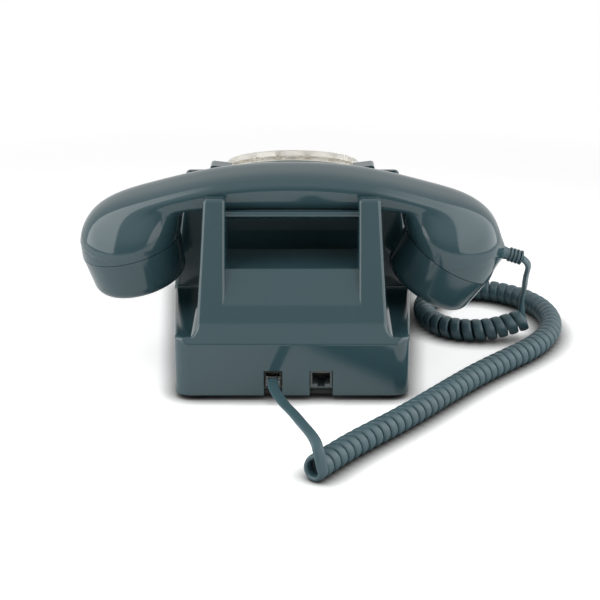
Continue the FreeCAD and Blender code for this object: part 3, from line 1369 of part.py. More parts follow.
handset_frame = Placement(Vector(0, size("handset_y"), size("handset_height")),
                          Rotation(Vector(1, 0, 0), size("handset_roll")))
receiver_frame = handset_frame.multiply(Placement(Vector(-size("ear_x"), 0, -size("ear_drop")),
                                                  Rotation(Vector(0, 1, 0), -size("receiver_tilt"))))
transmitter_frame = handset_frame.multiply(Placement(Vector(size("ear_x"), 0, -size("ear_drop")),
                                                     Rotation(Vector(0, 1, 0), size("transmitter_tilt"))))
relief_turn = math.radians(size("relief_angle"))
relief_way = Vector(math.cos(relief_turn), 0, -math.sin(relief_turn))
relief_place = Vector(size("ear_x + ear_radius - 1.6"), 0, -size("ear_drop + 0.4"))
HUB_BOTTOM = "(wheel_bottom - hub_thickness)"
PULSE_X = "((main_teeth + pulse_teeth) * gear_module / 2)"
GOVERNOR_Y = "((pulse_wheel_teeth + governor_teeth) * governor_module / 2)"
PILLARS = [(f"pillar_circle * cos({angle})", f"pillar_circle * sin({angle})")
           for angle in (110, 200, 290)]
PLUNGERS = [("-plunger_x", "plunger_y"), ("plunger_x", "plunger_y")]
BOARD_HOLES = [("-board_width / 2 + 5", "board_rear + board_depth - 5"),
               ("board_width / 2 - 5", "board_rear + board_depth - 5"),
               ("-board_width / 2 + 5", "board_rear + 5"), ("board_width / 2 - 5", "board_rear + 5")]
dial_frame = Placement(Vector(0, size("dial_y"), size(DIAL_HEIGHT)),
                       Rotation(Vector(1, 0, 0), -size("fascia_slope")))

make_case()
make_base_plate()
make_board()
make_socket("line_socket", "line", 4)
make_socket("handset_socket", "cord", 4)
make_plug()
make_ringer()
make_dial_body()
make_dial_rotor()
make_hook()
make_handset()
make_cord()

doc.recompute()
broken = [thing.Name for thing in doc.Objects if "Invalid" in thing.State or "Error" in thing.State]
if broken:
    raise RuntimeError("failed: " + ", ".join(broken))
os.makedirs("parts", exist_ok=True)
for name, thing in nodes.items():
    if thing.Shape.isNull() or not thing.Shape.isValid():
        raise RuntimeError("bad shape: " + name)
    thing.Shape.exportStep(f"parts/{name}.step")
    print(name, len(thing.Shape.Solids), round(thing.Shape.Volume))
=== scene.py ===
"""A rotary desk telephone seen from behind: its handset, curly cord, dial print and finishes."""

import math

import bpy
import numpy as np
from mathutils import Matrix


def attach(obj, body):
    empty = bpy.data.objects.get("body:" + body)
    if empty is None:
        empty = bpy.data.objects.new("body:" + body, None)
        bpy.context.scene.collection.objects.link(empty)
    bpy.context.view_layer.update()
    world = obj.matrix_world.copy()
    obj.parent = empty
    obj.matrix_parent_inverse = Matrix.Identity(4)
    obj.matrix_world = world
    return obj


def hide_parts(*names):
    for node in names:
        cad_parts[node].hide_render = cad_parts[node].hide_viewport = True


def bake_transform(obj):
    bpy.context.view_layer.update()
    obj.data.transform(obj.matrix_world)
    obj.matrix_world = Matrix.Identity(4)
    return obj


bl_info = {
    "name": "Desk telephone",
    "version": (1, 0, 0),
    "blender": (4, 5, 0),
    "location": "3D View > Sidebar > Telephone",
    "description": "Builds a rotary desk telephone's looks around its solids",
    "category": "Object",
}

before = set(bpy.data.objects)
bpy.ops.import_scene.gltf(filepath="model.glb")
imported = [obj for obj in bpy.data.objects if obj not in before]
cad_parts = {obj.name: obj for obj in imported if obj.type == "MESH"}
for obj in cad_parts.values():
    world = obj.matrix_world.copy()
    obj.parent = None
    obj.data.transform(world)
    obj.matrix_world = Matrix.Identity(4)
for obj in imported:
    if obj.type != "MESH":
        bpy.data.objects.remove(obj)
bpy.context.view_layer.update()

MM = 0.001
# The handset's own frame: its origin under the middle of the grip, leaning back from the dial
HANDSET_PLACE = (0.0, -48.0, 96.9)
HANDSET_ROLL = 9.0
# The dial's own frame: its origin in the sloping front, where the shaft comes through
DIAL_PLACE = (0.0, 48.0, 80.286)
DIAL_SLOPE = 25.0
# The number plate's top in that frame, and the radius of the circle of finger holes
NUMBER_RING_TOP = 8.8
FINGER_CIRCLE = 31.0

# The free cord's route in millimetres: from the plug, along the middle of the curls, up to the handset
PLUG_END = (-10.4, -106.6, 12.5)
LEAD = [(-10.4, -115.0, 12.6), (-8.3, -127.5, 13.4), (-4.3, -147.0, 15.6), (0.8, -165.0, 18.0),
        (4.8, -181.0, 19.6)]
CURLS = [(11.0, -209.0, 6.8), (27.0, -184.5, 6.8), (44.5, -163.0, 6.8), (62.5, -140.5, 6.8),
         (82.0, -113.0, 6.8), (102.5, -84.5, 6.8), (122.5, -61.0, 6.8), (139.5, -42.0, 6.8),
         (152.0, -21.0, 6.8), (158.0, 1.0, 6.8), (157.0, 24.0, 6.8), (149.0, 44.0, 6.8),
         (136.0, 58.5, 6.8), (119.0, 66.5, 6.8), (101.0, 65.0, 6.8), (88.0, 53.0, 6.8),
         (82.0, 36.0, 6.8), (81.5, 19.0, 6.8), (85.5, 3.0, 6.8), (95.0, -8.0, 6.8),
         (108.5, -12.0, 6.8), (124.0, -11.5, 8.2), (139.5, -8.6, 13.2)]
DROP = [(138.2, -13.0, 34.4), (136.4, -26.0, 44.0), (136.0, -36.0, 53.0)]
# The lead's last bend, counted from the point where it turns into the first curl
LEAD_SWING = (-1.7, 6.0, 5.8)
# How far the strand goes on straight into the first curl, out of the last one and out of the boot
FIRST_CURL_RUN = 8.0
LAST_CURL_RUN = 9.0
BOOT_RUN = 6.0
# Which way the flat strand is wide along the lead and along the drop
LEAD_WIDE = (1.0, 0.1, 0.0)
DROP_WIDE = (0.35, 0.9, 0.0)
# The strain relief's root, its angle below level and its length, in the handset's own frame, and
# the place in the ear from which the boot's finer shape goes to the same tip
RELIEF_ROOT = (118.6, 0.0, -27.4)
RELIEF_ANGLE = 30.0
RELIEF_LENGTH = 15.0
BOOT_ROOT = (117.4, 0.0, -30.3)

# The handset's back in its own frame, as across, half depth and height, and its underside below each
# point, as across, squareness and height
HANDSET_BACK = [(-119.9, 28.9, -31.0), (-120.5, 28.7, -25.5), (-120.5, 27.0, -17.0), (-113.8, 21.5, -4.9),
                (-100.5, 17.2, 3.0), (-80.0, 16.6, 8.9), (-52.0, 16.6, 16.6), (-20.0, 16.6, 21.5),
                (20.0, 16.6, 21.5), (52.0, 16.6, 16.4), (80.0, 16.6, 8.2), (100.0, 17.2, 2.6),
                (113.2, 21.5, -6.2), (119.0, 27.0, -18.5), (119.2, 28.7, -31.0), (113.8, 28.8, -45.2)]
HANDSET_UNDERSIDE = [(-63.6, 2.0, -18.0), (-63.0, 2.0, -14.5), (-62.4, 2.05, -10.5), (-61.8, 2.2, -5.5),
                     (-59.5, 2.5, -0.4), (-52.0, 2.8, 0.1), (-38.0, 3.0, 0.0), (-18.0, 3.1, 0.0),
                     (18.0, 3.1, 0.0), (38.0, 3.0, 0.0), (52.0, 2.8, 0.1), (59.5, 2.5, -0.4),
                     (61.8, 2.2, -5.5), (62.4, 2.05, -10.5), (63.2, 2.0, -13.5), (64.5, 2.0, -15.6)]
# Each ear's side, its cap's tilt and joint above the ear's middle, and its crease's slope and shift
EARS = {"receiver": (-1.0, 13.0, 2.6, 0.3, -2.0), "transmitter": (1.0, 31.0, -4.0, 0.65, 3.5)}
EAR_REACH = 91.2
EAR_DROP = 27.0
# Edges between faces that meet at more than this angle stay sharp
SHARP_ANGLE = math.radians(50)

# The range in which most of a noise lies
NOISE_LOW = 0.3
NOISE_HIGH = 0.7

# The camera's place in metres, found together with its lens and elevation
CAMERA_PLACE = (0.0044, -0.9469, 0.3483)
# Each lamp's place, target, sides and power, and the share of its height where it starts to fade
LAMPS = {"left_wall": ((-0.62, -0.37, 1.02), (0.0, -0.37, 1.02), (1.0, 2.0), 15.0, 0.4),
         "right_wall": ((0.42, -0.45, 0.62), (0.0, -0.45, 0.62), (1.2, 1.2), 8.0, 0.4)}


def linear(code):
    """An sRGB hex colour as linear red, green, blue and alpha."""
    share = np.array([int(code[i:i + 2], 16) for i in (1, 3, 5)]) / 255
    light = np.where(share <= 0.04045, share / 12.92, ((share + 0.055) / 1.055) ** 2.4)
    return (*light.tolist(), 1.0)


class CordSettings(bpy.types.PropertyGroup):
    strand_width: bpy.props.FloatProperty(
        name="Strand width", description="Width of the flat strand", default=5.8 * MM, unit="LENGTH")
    strand_thickness: bpy.props.FloatProperty(
        name="Strand thickness", description="Thickness of the flat strand", default=2.8 * MM,
        unit="LENGTH")
    coil_outer: bpy.props.FloatProperty(
        name="Coil diameter", description="Outer diameter of the curls", default=13.4 * MM, unit="LENGTH")
    curl_pitch: bpy.props.FloatProperty(
        name="Curl pitch", description="Distance from one curl to the next", default=6.4 * MM,
        unit="LENGTH")
    first_turn: bpy.props.FloatProperty(
        name="First curl", description="Where the first curl starts round the coil, from the top",
        default=math.radians(78), subtype="ANGLE")
    last_turn: bpy.props.FloatProperty(
        name="Last curl", description="Where the last curl ends round the coil, from the top",
        default=math.radians(270), subtype="ANGLE")


class FinishSettings(bpy.types.PropertyGroup):
    case_colour: bpy.props.FloatVectorProperty(
        name="Case colour", description="Dyed moulded plastic of the case and handset",
        default=linear("#30494F"), size=4, subtype="COLOR", min=0.0, max=1.0)
    cord_colour: bpy.props.FloatVectorProperty(
        name="Cord colour", description="Flexible plastic of the cord",
        default=linear("#375259"), size=4, subtype="COLOR", min=0.0, max=1.0)
    number_colour: bpy.props.FloatVectorProperty(
        name="Number plate colour", description="Printed plate under the dial wheel",
        default=linear("#DED9CB"), size=4, subtype="COLOR", min=0.0, max=1.0)
    digit_colour: bpy.props.FloatVectorProperty(
        name="Digit colour", description="Ink of the dial's digits",
        default=linear("#1D2326"), size=4, subtype="COLOR", min=0.0, max=1.0)


class StageSettings(bpy.types.PropertyGroup):
    lens: bpy.props.FloatProperty(
        name="Lens", description="Focal length of the camera, in millimetres", default=99.24)
    elevation: bpy.props.FloatProperty(
        name="Elevation", description="How far the camera looks down", default=math.radians(19),
        subtype="ANGLE")
    sky: bpy.props.FloatProperty(
        name="Sky", description="Strength of the even light from all round", default=0.25)
    backdrop: bpy.props.FloatProperty(
        name="Backdrop", description="Strength of the pale backdrop in the telephone's gloss", default=0.9)
    floor_glow: bpy.props.FloatProperty(
        name="Floor glow", description="How much the paper is lifted where it is seen", default=0.5)
    mirrored_glow: bpy.props.FloatProperty(
        name="Mirrored glow", description="How much it is lifted in gloss and through clear plastic",
        default=0.3)
    # How far the contact shadow painted into the floor's colour reaches
    contact: bpy.props.FloatProperty(
        name="Contact shadow", description="How far the shadow of what stands near reaches over the paper",
        default=12 * MM, unit="LENGTH")
    floor_colour: bpy.props.FloatVectorProperty(
        name="Floor colour", description="Pale paper under the telephone",
        default=linear("#F2F2F2"), size=4, subtype="COLOR", min=0.0, max=1.0)


def add_node(tree, kind, inputs=None, **settings):
    """Adds a shader node; settings are its attributes, and each input is a value or a linked socket."""
    node = tree.nodes.new(kind)
    for name, value in settings.items():
        setattr(node, name, value)
    for name, value in (inputs or {}).items():
        if isinstance(value, bpy.types.NodeSocket):
            tree.links.new(value, node.inputs[name])
        else:
            node.inputs[name].default_value = value
    return node


def blank_material(name):
    """A material with an empty node tree, and that tree."""
    material = bpy.data.materials.new(name)
    material.use_nodes = True
    material.node_tree.nodes.clear()
    return material, material.node_tree


def close_material(tree, shader):
    """Links a shader to the surface."""
    add_node(tree, "ShaderNodeOutputMaterial", {"Surface": shader.outputs[0]})


def tinted(tree, colour, amount, noise):
    """The colour drifting lighter and darker by the amount with a noise."""
    dark = [channel * (1 - amount) for channel in colour[:3]]
    light = [min(1.0, channel * (1 + amount)) for channel in colour[:3]]
    ramp = add_node(tree, "ShaderNodeValToRGB", {"Fac": noise.outputs["Fac"]})
    ramp.color_ramp.elements[0].position = NOISE_LOW
    ramp.color_ramp.elements[0].color = (*dark, 1.0)
    ramp.color_ramp.elements[1].position = NOISE_HIGH
    ramp.color_ramp.elements[1].color = (*light, 1.0)
    return ramp.outputs["Color"]


def spread(tree, noise, low, high):
    """A noise stretched over a range."""
    node = add_node(tree, "ShaderNodeMapRange", {"Value": noise.outputs["Fac"], "From Min": NOISE_LOW,
                                                 "From Max": NOISE_HIGH, "To Min": low, "To Max": high})
    return node.outputs["Result"]


def plastic(name, colour, rough, drift, grain, depth, ior=1.5, tint=0.06):
    """A moulded plastic: colour and gloss drift slowly, over a fine grain from the mould.

    rough is the roughness range, drift and grain are pattern sizes and depth the grain's height.
    """
    material, tree = blank_material(name)
    place = add_node(tree, "ShaderNodeTexCoord").outputs["Object"]
    slow = add_node(tree, "ShaderNodeTexNoise", {"Vector": place, "Scale": 1 / drift, "Detail": 3.0})
    fine = add_node(tree, "ShaderNodeTexNoise", {"Vector": place, "Scale": 1 / grain, "Detail": 2.0})
    bump = add_node(tree, "ShaderNodeBump", {"Height": fine.outputs["Fac"], "Distance": depth,
                                             "Strength": 0.6})
    shader = add_node(tree, "ShaderNodeBsdfPrincipled", {
        "Base Color": tinted(tree, colour, tint, slow), "Roughness": spread(tree, slow, *rough),
        "IOR": ior, "Normal": bump.outputs["Normal"]})
    close_material(tree, shader)
    return material


def metal(name, colour, rough, streak, stretch):
    """A worked metal: roughness and a faint bump follow streaks of the tool, stretched along X."""
    depth = 0.01 * MM
    tint = 0.08
    material, tree = blank_material(name)
    place = add_node(tree, "ShaderNodeTexCoord").outputs["Object"]
    turned = add_node(tree, "ShaderNodeMapping", {"Vector": place, "Scale": (1 / stretch, 1.0, 1.0)})
    lines = add_node(tree, "ShaderNodeTexNoise", {"Vector": turned.outputs["Vector"],
                                                  "Scale": 1 / streak, "Detail": 4.0})
    bump = add_node(tree, "ShaderNodeBump", {"Height": lines.outputs["Fac"], "Distance": depth,
                                             "Strength": 0.4})
    shader = add_node(tree, "ShaderNodeBsdfPrincipled", {
        "Base Color": tinted(tree, colour, tint, lines), "Metallic": 1.0,
        "Roughness": spread(tree, lines, *rough), "Normal": bump.outputs["Normal"]})
    close_material(tree, shader)
    return material


def clear_plastic(name, colour, ior, rough, clarity):
    """A clear or milky moulding: a share of the light passes through, with faint flow marks in it."""
    mark_size = 14 * MM
    mark_depth = 0.05 * MM
    material, tree = blank_material(name)
    place = add_node(tree, "ShaderNodeTexCoord").outputs["Object"]
    flow = add_node(tree, "ShaderNodeTexNoise", {"Vector": place, "Scale": 1 / mark_size, "Detail": 2.0})
    bump = add_node(tree, "ShaderNodeBump", {"Height": flow.outputs["Fac"], "Distance": mark_depth,
                                             "Strength": 0.3})
    shader = add_node(tree, "ShaderNodeBsdfPrincipled", {
        "Base Color": colour, "Roughness": spread(tree, flow, *rough), "IOR": ior,
        "Transmission Weight": clarity, "Normal": bump.outputs["Normal"]})
    close_material(tree, shader)
    return material


def make_finishes(settings):
    """Every finish of the telephone by its plain name.

    The real grain of a mould and the real marks of a tool are finer than the picture can show, so they
    are drawn as coarse as they need to be seen.
    """
    return {
        # Polished mould, dyed through: sharp reflections with a slight unevenness
        "abs": plastic("glossy_moulded_abs", settings.case_colour, (0.07, 0.12), 45 * MM, 1.6 * MM,
                       0.004 * MM, 1.54, 0.03),
        # Soft vinyl sleeve: satin, faintly pebbled
        "vinyl": plastic("satin_extruded_vinyl", settings.cord_colour, (0.36, 0.5), 18 * MM, 0.9 * MM,
                         0.02 * MM, 1.52, 0.08),
        # Nylon from an etched mould: dull and even, with hardly a reflection
        "black": plastic("matt_black_nylon", linear("#17191A"), (0.4, 0.6), 12 * MM, 0.6 * MM,
                         0.02 * MM),
        # The same moulding in grey: half dull, so the socket's rim stands out from its mouth
        "grey": plastic("grey_moulded_nylon", linear("#4E5557"), (0.35, 0.5), 12 * MM, 0.6 * MM,
                        0.02 * MM),
        # Cast rubber: no gloss and a slightly pitted skin
        "rubber": plastic("black_cast_rubber", linear("#141414"), (0.65, 0.85), 6 * MM, 0.5 * MM,
                          0.06 * MM),
        # Green lacquer over woven glass: half gloss with a fine unevenness
        "laminate": plastic("green_glass_laminate", linear("#15321F"), (0.3, 0.45), 20 * MM, 0.7 * MM,
                            0.02 * MM),
        # Pale enamel on a pressed plate: soft gloss and an almost even colour
        "paint": plastic("printed_enamel_plate", settings.number_colour, (0.3, 0.42), 20 * MM, 1.0 * MM,
                         0.01 * MM, 1.5, 0.03),
        # Stoved black paint on sheet steel: dull with a faint orange peel, its colour near black partly as
        # painted shade where the plate shows in the notches under the sockets
        "enamel": plastic("black_enamelled_steel", linear("#0D0E0F"), (0.5, 0.65), 25 * MM, 2.2 * MM,
                          0.01 * MM),
        # Ink pressed through a screen: flat and dull, a little uneven in tone
        "ink": plastic("screen_printed_ink", settings.digit_colour, (0.45, 0.6), 8 * MM, 0.4 * MM,
                       0.01 * MM),
        # Old clear wheel: a little milky, so what is behind it shows soft and pale
        "acrylic": clear_plastic("milky_cast_acrylic", linear("#F8F5EE"), 1.49, (0.25, 0.35), 0.6),
        # Clear plug from a polished mould: sharp and nearly colourless
        "polycarbonate": clear_plastic("clear_moulded_polycarbonate", linear("#E9EEEE"), 1.58,
                                       (0.05, 0.12), 1.0),
        # Zinc plated in a barrel: pale grey with soft streaks
        "zinc": metal("zinc_plated_steel", linear("#B4B8BA"), (0.28, 0.42), 0.8 * MM, 3.0),
        # Polished before plating: almost a mirror
        "chrome": metal("polished_chrome", linear("#D5D8DA"), (0.06, 0.12), 1.5 * MM, 6.0),
        # Spun on a lathe: warm, with fine marks of the tool
        "brass": metal("spun_brass", linear("#C9A24E"), (0.2, 0.32), 0.7 * MM, 4.0),
        # Thin gold over spring wire: warm, its colour darkened with painted shade for its place deep in
        # the socket
        "gold": metal("gold_plated_contact", linear("#7E6138"), (0.18, 0.3), 0.5 * MM, 2.0),
        # Lacquered wire in close turns: brown, with long streaks
        "copper": metal("enamelled_copper_winding", linear("#9C5A35"), (0.25, 0.4), 0.3 * MM, 8.0),
        # Turned and left bare: pale, with fine rings of the tool
        "aluminium": metal("turned_aluminium", linear("#C3C6C8"), (0.22, 0.34), 0.5 * MM, 4.0),
    }


# Which finish each carried-over solid takes
NODE_FINISHES = {
    "abs": ["case_shell", "ear_cap", "mouth_cap", "dial_drum", "dial_centre", "handset_shell"],
    "vinyl": ["strain_relief", "cord_lead", "cord_curls", "cord_drop"],
    "black": ["handset_socket", "board_components", "dial_clamp_ring", "hook_switch", "hook_bar"],
    "grey": ["line_socket"],
    "rubber": ["rubber_feet"],
    "laminate": ["circuit_board"],
    "paint": ["number_ring"],
    "acrylic": ["finger_wheel", "plunger_left", "plunger_right"],
    "polycarbonate": ["cord_plug"],
    "enamel": ["base_plate"],
    "zinc": ["case_screws", "board_screws", "gong_posts", "gong_screws", "ringer_frame",
             "clapper_pivot", "clapper", "dial_frame_plate", "dial_pillars", "dial_screws",
             "return_spring", "dial_shaft", "pulse_arbor", "hook_bracket", "hook_springs",
             "handset_weight", "ringer_core"],
    "chrome": ["finger_stop"],
    "brass": ["gong_left", "gong_right", "dial_bush", "main_gear", "governor", "governor_cup"],
    "aluminium": ["receiver_capsule", "transmitter_capsule"],
    "gold": ["line_socket_contacts", "handset_socket_contacts"],
    "copper": ["ringer_coil"],
}
finishes = {}


def new_piece(name, mesh, finish):
    """An object in the scene with one finish in its material slot."""
    piece = bpy.data.objects.new(name, mesh)
    bpy.context.scene.collection.objects.link(piece)
    mesh.materials.append(finishes[finish])
    return piece


def tube_mesh(name, rings):
    """A closed skin over rings of points, an array of rows by columns by 3.

    Each ring is closed, and both ends are fanned to a pole in the middle of their ring.
    """
    rows, columns = rings.shape[:2]
    index = np.arange(rows * columns).reshape(rows, columns)
    ahead = np.roll(index, -1, axis=1)
    quads = np.stack([index[:-1], ahead[:-1], ahead[1:], index[1:]], axis=-1).reshape(-1, 4)
    poles = np.stack([rings[0].mean(axis=0), rings[-1].mean(axis=0)])
    first = np.stack([ahead[0], index[0], np.full(columns, rows * columns)], axis=-1)
    last = np.stack([index[-1], ahead[-1], np.full(columns, rows * columns + 1)], axis=-1)
    mesh = bpy.data.meshes.new(name)
    mesh.from_pydata(np.concatenate([rings.reshape(-1, 3), poles]).tolist(), [],
                     quads.tolist() + first.tolist() + last.tolist())
    mesh.validate()
    mesh.shade_smooth()
    return mesh


def route(name, points, order=3, steps=16):
    """Points along a smooth spline whose control points are given, ends included."""
    curve = bpy.data.curves.new(name, "CURVE")
    curve.dimensions = "3D"
    spline = curve.splines.new("NURBS")
    spline.points.add(len(points) - 1)
    spline.points.foreach_set("co", np.column_stack([points, np.ones(len(points))]).ravel())
    spline.order_u = order
    spline.use_endpoint_u = True
    spline.resolution_u = steps
    bare = bpy.data.objects.new(name, curve)
    mesh = bpy.data.meshes.new_from_object(bare)
    line = np.empty(len(mesh.vertices) * 3)
    mesh.vertices.foreach_get("co", line)
    bpy.data.meshes.remove(mesh)
    bpy.data.objects.remove(bare)
    bpy.data.curves.remove(curve)
    return line.reshape(-1, 3)


def evenly(line, count):
    """The line again at evenly spaced points, with its length."""
    along = np.concatenate([[0], np.cumsum(np.linalg.norm(np.diff(line, axis=0), axis=1))])
    places = np.linspace(0, along[-1], count)
    return np.stack([np.interp(places, along, line[:, axis]) for axis in range(3)], axis=1), along[-1]


def running_mean(rows, reach, **beyond):
    """Each row weighed with its neighbours within the reach; beyond says how the ends go on."""
    weight = np.hanning(2 * reach + 1)
    weight = weight / weight.sum()
    return np.stack([np.convolve(np.pad(column, reach, **beyond), weight, mode="valid")
                     for column in rows.T], axis=1)


def softened(line, reach):
    """The line with its bends eased by a running mean over the reach on both sides; its ends stay."""
    return running_mean(line, reach, mode="reflect", reflect_type="odd")


def unit(vectors):
    """Vectors of length one."""
    return vectors / np.linalg.norm(vectors, axis=-1, keepdims=True)


def ease(low, high, value):
    """A smooth step from 0 to 1 between low and high."""
    share = np.clip((value - low) / (high - low), 0, 1)
    return share * share * (3 - 2 * share)


def handset_to_world(points):
    """Points of the handset's own frame in the telephone's frame."""
    turn = np.array(Matrix.Rotation(math.radians(HANDSET_ROLL), 3, "X"))
    return points @ turn.T + np.array(HANDSET_PLACE) * MM


def curl_line(settings):
    """The strand's middle through the curls and the coil's own direction beside each point.

    A circle of the coil's middle radius turns about the route as it moves along it, one turn each pitch.
    """
    steps_per_turn = 32
    reach = 48
    axis = route("curl_axis", np.array(CURLS) * MM)
    length = evenly(axis, 2)[1]
    turns = round(length / settings.curl_pitch)
    middle, _ = evenly(axis, steps_per_turn * turns + 1)
    smooth = softened(middle, reach)
    way = unit(np.gradient(smooth, axis=0))
    side = unit(np.cross(way, [0.0, 0.0, 1.0]))
    rise = unit(np.cross(side, way))
    total = 2 * math.pi * turns + settings.last_turn - settings.first_turn
    angle = settings.first_turn + total * np.linspace(0, 1, len(middle))[:, None]
    radius = (settings.coil_outer - settings.strand_thickness) / 2
    return smooth + radius * (rise * np.cos(angle) + side * np.sin(angle)), way


def boot_tip():
    """The end of the boot where the strand enters it and the way out of it, in the handset's frame."""
    angle = math.radians(RELIEF_ANGLE)
    outward = np.array([math.cos(angle), 0.0, -math.sin(angle)])
    return np.array(RELIEF_ROOT) + outward * RELIEF_LENGTH, outward


def build_boot():
    """The boot that guards the strand at the handset, turned about a line from the ear to its tip.

    Its radius falls as r = neck + swell * exp(-t / fall) with the distance t from the ear's skin. Past
    its plain share it steps out to the ribs' radius and back once each pitch. Its root is sunk into the
    ear, where it grows no wider.
    """
    neck, swell, fall = 3.1, 2.9, 2.6
    rib, ribs, plain = 4.2, 4, 0.42
    rib_rise, rib_fall = (0.25, 0.4), (0.85, 1.0)
    sunk, widest = 6.0, -1.0
    rows, columns = 260, 48
    root, (tip, _) = np.array(BOOT_ROOT), boot_tip()
    length = np.linalg.norm(tip - root)
    way = (tip - root) / length
    along = np.linspace(-sunk, length, rows)
    start = plain * length
    place = (along - start) / (length - start) * ribs
    share = place % 1.0
    step = (ease(*rib_rise, share) - ease(*rib_fall, share)) * (place > 0)
    radius = neck + swell * np.exp(-np.maximum(along, widest) / fall)
    radius = np.maximum(radius, neck + (rib - neck) * step)
    side = np.array([0.0, 1.0, 0.0])
    up = np.cross(way, side)
    angle = np.linspace(0, 2 * math.pi, columns, endpoint=False)[:, None]
    round_way = side * np.cos(angle) + up * np.sin(angle)
    rings = root + along[:, None, None] * way + radius[:, None, None] * round_way
    mesh = tube_mesh("cord_boot", handset_to_world(rings * MM))
    mesh.set_sharp_from_angle(angle=SHARP_ANGLE)
    boot = new_piece("cord_boot", mesh, "vinyl")
    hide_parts("strain_relief")
    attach(boot, "handset")


def cord_line(settings):
    """The whole strand's middle from plug to handset, with the way that its flat side is wide.

    The lead's spline runs into the first curl along that curl. The drop's spline leaves the last curl
    along it and enters the boot along the boot's axis.
    """
    lead_steps, drop_steps, drop_reach = 120, 90, 14
    curls, way = curl_line(settings)
    start, leave = curls[0], unit(curls[0] - curls[1])
    stop, rise = curls[-1], unit(curls[-1] - curls[-2])
    low = start + leave * FIRST_CURL_RUN * MM
    lead = np.vstack([np.array([PLUG_END] + LEAD) * MM, low + np.array(LEAD_SWING) * MM, low, start])
    tip, outward = boot_tip()
    tip, beyond = handset_to_world(np.stack([tip, tip + outward * BOOT_RUN]) * MM)
    drop = np.vstack([stop, stop + rise * LAST_CURL_RUN * MM, np.array(DROP) * MM, beyond, tip])
    lead_line, _ = evenly(route("lead", lead), lead_steps)
    drop_line = softened(evenly(route("drop", drop), drop_steps)[0], drop_reach)
    line = np.vstack([lead_line[:-1], curls, drop_line[1:]])
    wide = np.vstack([np.tile(LEAD_WIDE, (len(lead_line) - 1, 1)), way,
                      np.tile(DROP_WIDE, (len(drop_line) - 1, 1))])
    return line, wide


def strand_rings(line, wide, width, thickness, columns):
    """A flattened round section carried along the line, its width kept along the wide direction.

    The section is width / 2 * cos(a)^power by thickness / 2 * sin(a)^power, each with its sign kept, so
    a power below 1 makes it squarer than an oval.
    """
    power = 0.8
    reach = 20
    way = unit(np.gradient(line, axis=0))
    wide = running_mean(wide, reach, mode="edge")
    wide = unit(wide - way * np.sum(wide * way, axis=1, keepdims=True))
    thin = np.cross(way, wide)
    angle = np.linspace(0, 2 * math.pi, columns, endpoint=False)
    across = np.sign(np.cos(angle)) * np.abs(np.cos(angle)) ** power * width / 2
    up = np.sign(np.sin(angle)) * np.abs(np.sin(angle)) ** power * thickness / 2
    return line[:, None] + wide[:, None] * across[None, :, None] + thin[:, None] * up[None, :, None]


def build_cord(settings):
    """The handset's cord in one strand: plain lead, curls and the rise to the handset."""
    line, wide = cord_line(settings)
    rings = strand_rings(line, wide, settings.strand_width, settings.strand_thickness, columns=18)
    cord = new_piece("handset_cord", tube_mesh("handset_cord", rings), "vinyl")
    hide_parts("cord_lead", "cord_curls", "cord_drop")
    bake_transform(cord)


def ear_axes(ear):
    """The middle, outward way and axis of an ear's joint with its cap, in the handset's frame."""
    side, tilt, seam = EARS[ear][:3]
    turn = math.radians(tilt)
    outward = np.array([side * math.cos(turn), 0.0, -math.sin(turn)])
    axis = np.array([side * math.sin(turn), 0.0, math.cos(turn)])
    return np.array([side * EAR_REACH, 0.0, -EAR_DROP]) + axis * seam, outward, axis


def handset_rings(columns):
    """Rings of the handset's skin from cap to cap, in millimetres of the handset's frame.

    One spline runs along the back and one along the underside. Each ring is an oval between their
    points, with (across / half)^n + (depth / half)^n = 1. The back's middle number is the oval's half
    depth and the underside's is its n: 2 is round, and more is squarer, most of all underneath.
    """
    squarer_below = 0.6
    back = route("handset_back", HANDSET_BACK, order=4, steps=24)
    under = route("handset_underside", HANDSET_UNDERSIDE, order=4, steps=24)
    half_depth, power = back[:, 1:2], under[:, 1:2]
    angle = np.linspace(0, 2 * math.pi, columns, endpoint=False)
    power = np.where(np.sin(angle) > 0, power, power + squarer_below * (power - 2))
    depth = half_depth * np.sign(np.cos(angle)) * np.abs(np.cos(angle)) ** (2 / power)
    height = np.sign(np.sin(angle)) * np.abs(np.sin(angle)) ** (2 / power)
    upright = np.array([1.0, 0.0, 1.0])
    deep = np.array([0.0, 1.0, 0.0])
    middle, arm = (back + under) / 2 * upright, (back - under) / 2 * upright
    return middle[:, None] + arm[:, None] * height[..., None] + depth[..., None] * deep


def crease(rings, ear):
    """Rings whose dome stands proud of the collar at its cap, with a fine groove between the two.

    The step lies along a plane through the ear that slopes away from the cap's joint, and it fades
    upwards and towards the inner side of the ear.
    """
    slope, shift = EARS[ear][3:]
    proud, edge, fade = 0.5, 0.4, 9.0
    groove, width = 0.5, 0.45
    inner, outer = -2, 8
    joint, outward, axis = ear_axes(ear)
    reach = (rings - joint) @ outward + shift
    above = ((rings - joint) @ axis - reach * slope) / math.hypot(1.0, slope)
    step = proud * ease(-edge, edge, above) * np.exp(-np.maximum(above, 0) / fade)
    step = (step - groove * np.exp(-(above / width) ** 2)) * ease(inner, outer, reach)
    return rings + unit(rings - rings.mean(axis=1, keepdims=True)) * step[..., None]


def flare(rings):
    """Rings drawn out towards the cord's boot.

    The pull is height * exp(-(a / width)^2) at the distance a from the boot's axis.
    """
    height, width = 3.5, 7.5
    far, near = -20, -8
    root = np.array(BOOT_ROOT)
    way = unit(boot_tip()[0] - root)
    away = rings - root
    along = away @ way
    aside = np.linalg.norm(away - along[..., None] * way, axis=-1)
    pull = height * np.exp(-(aside / width) ** 2) * ease(far, near, along)
    return rings + pull[..., None] * way


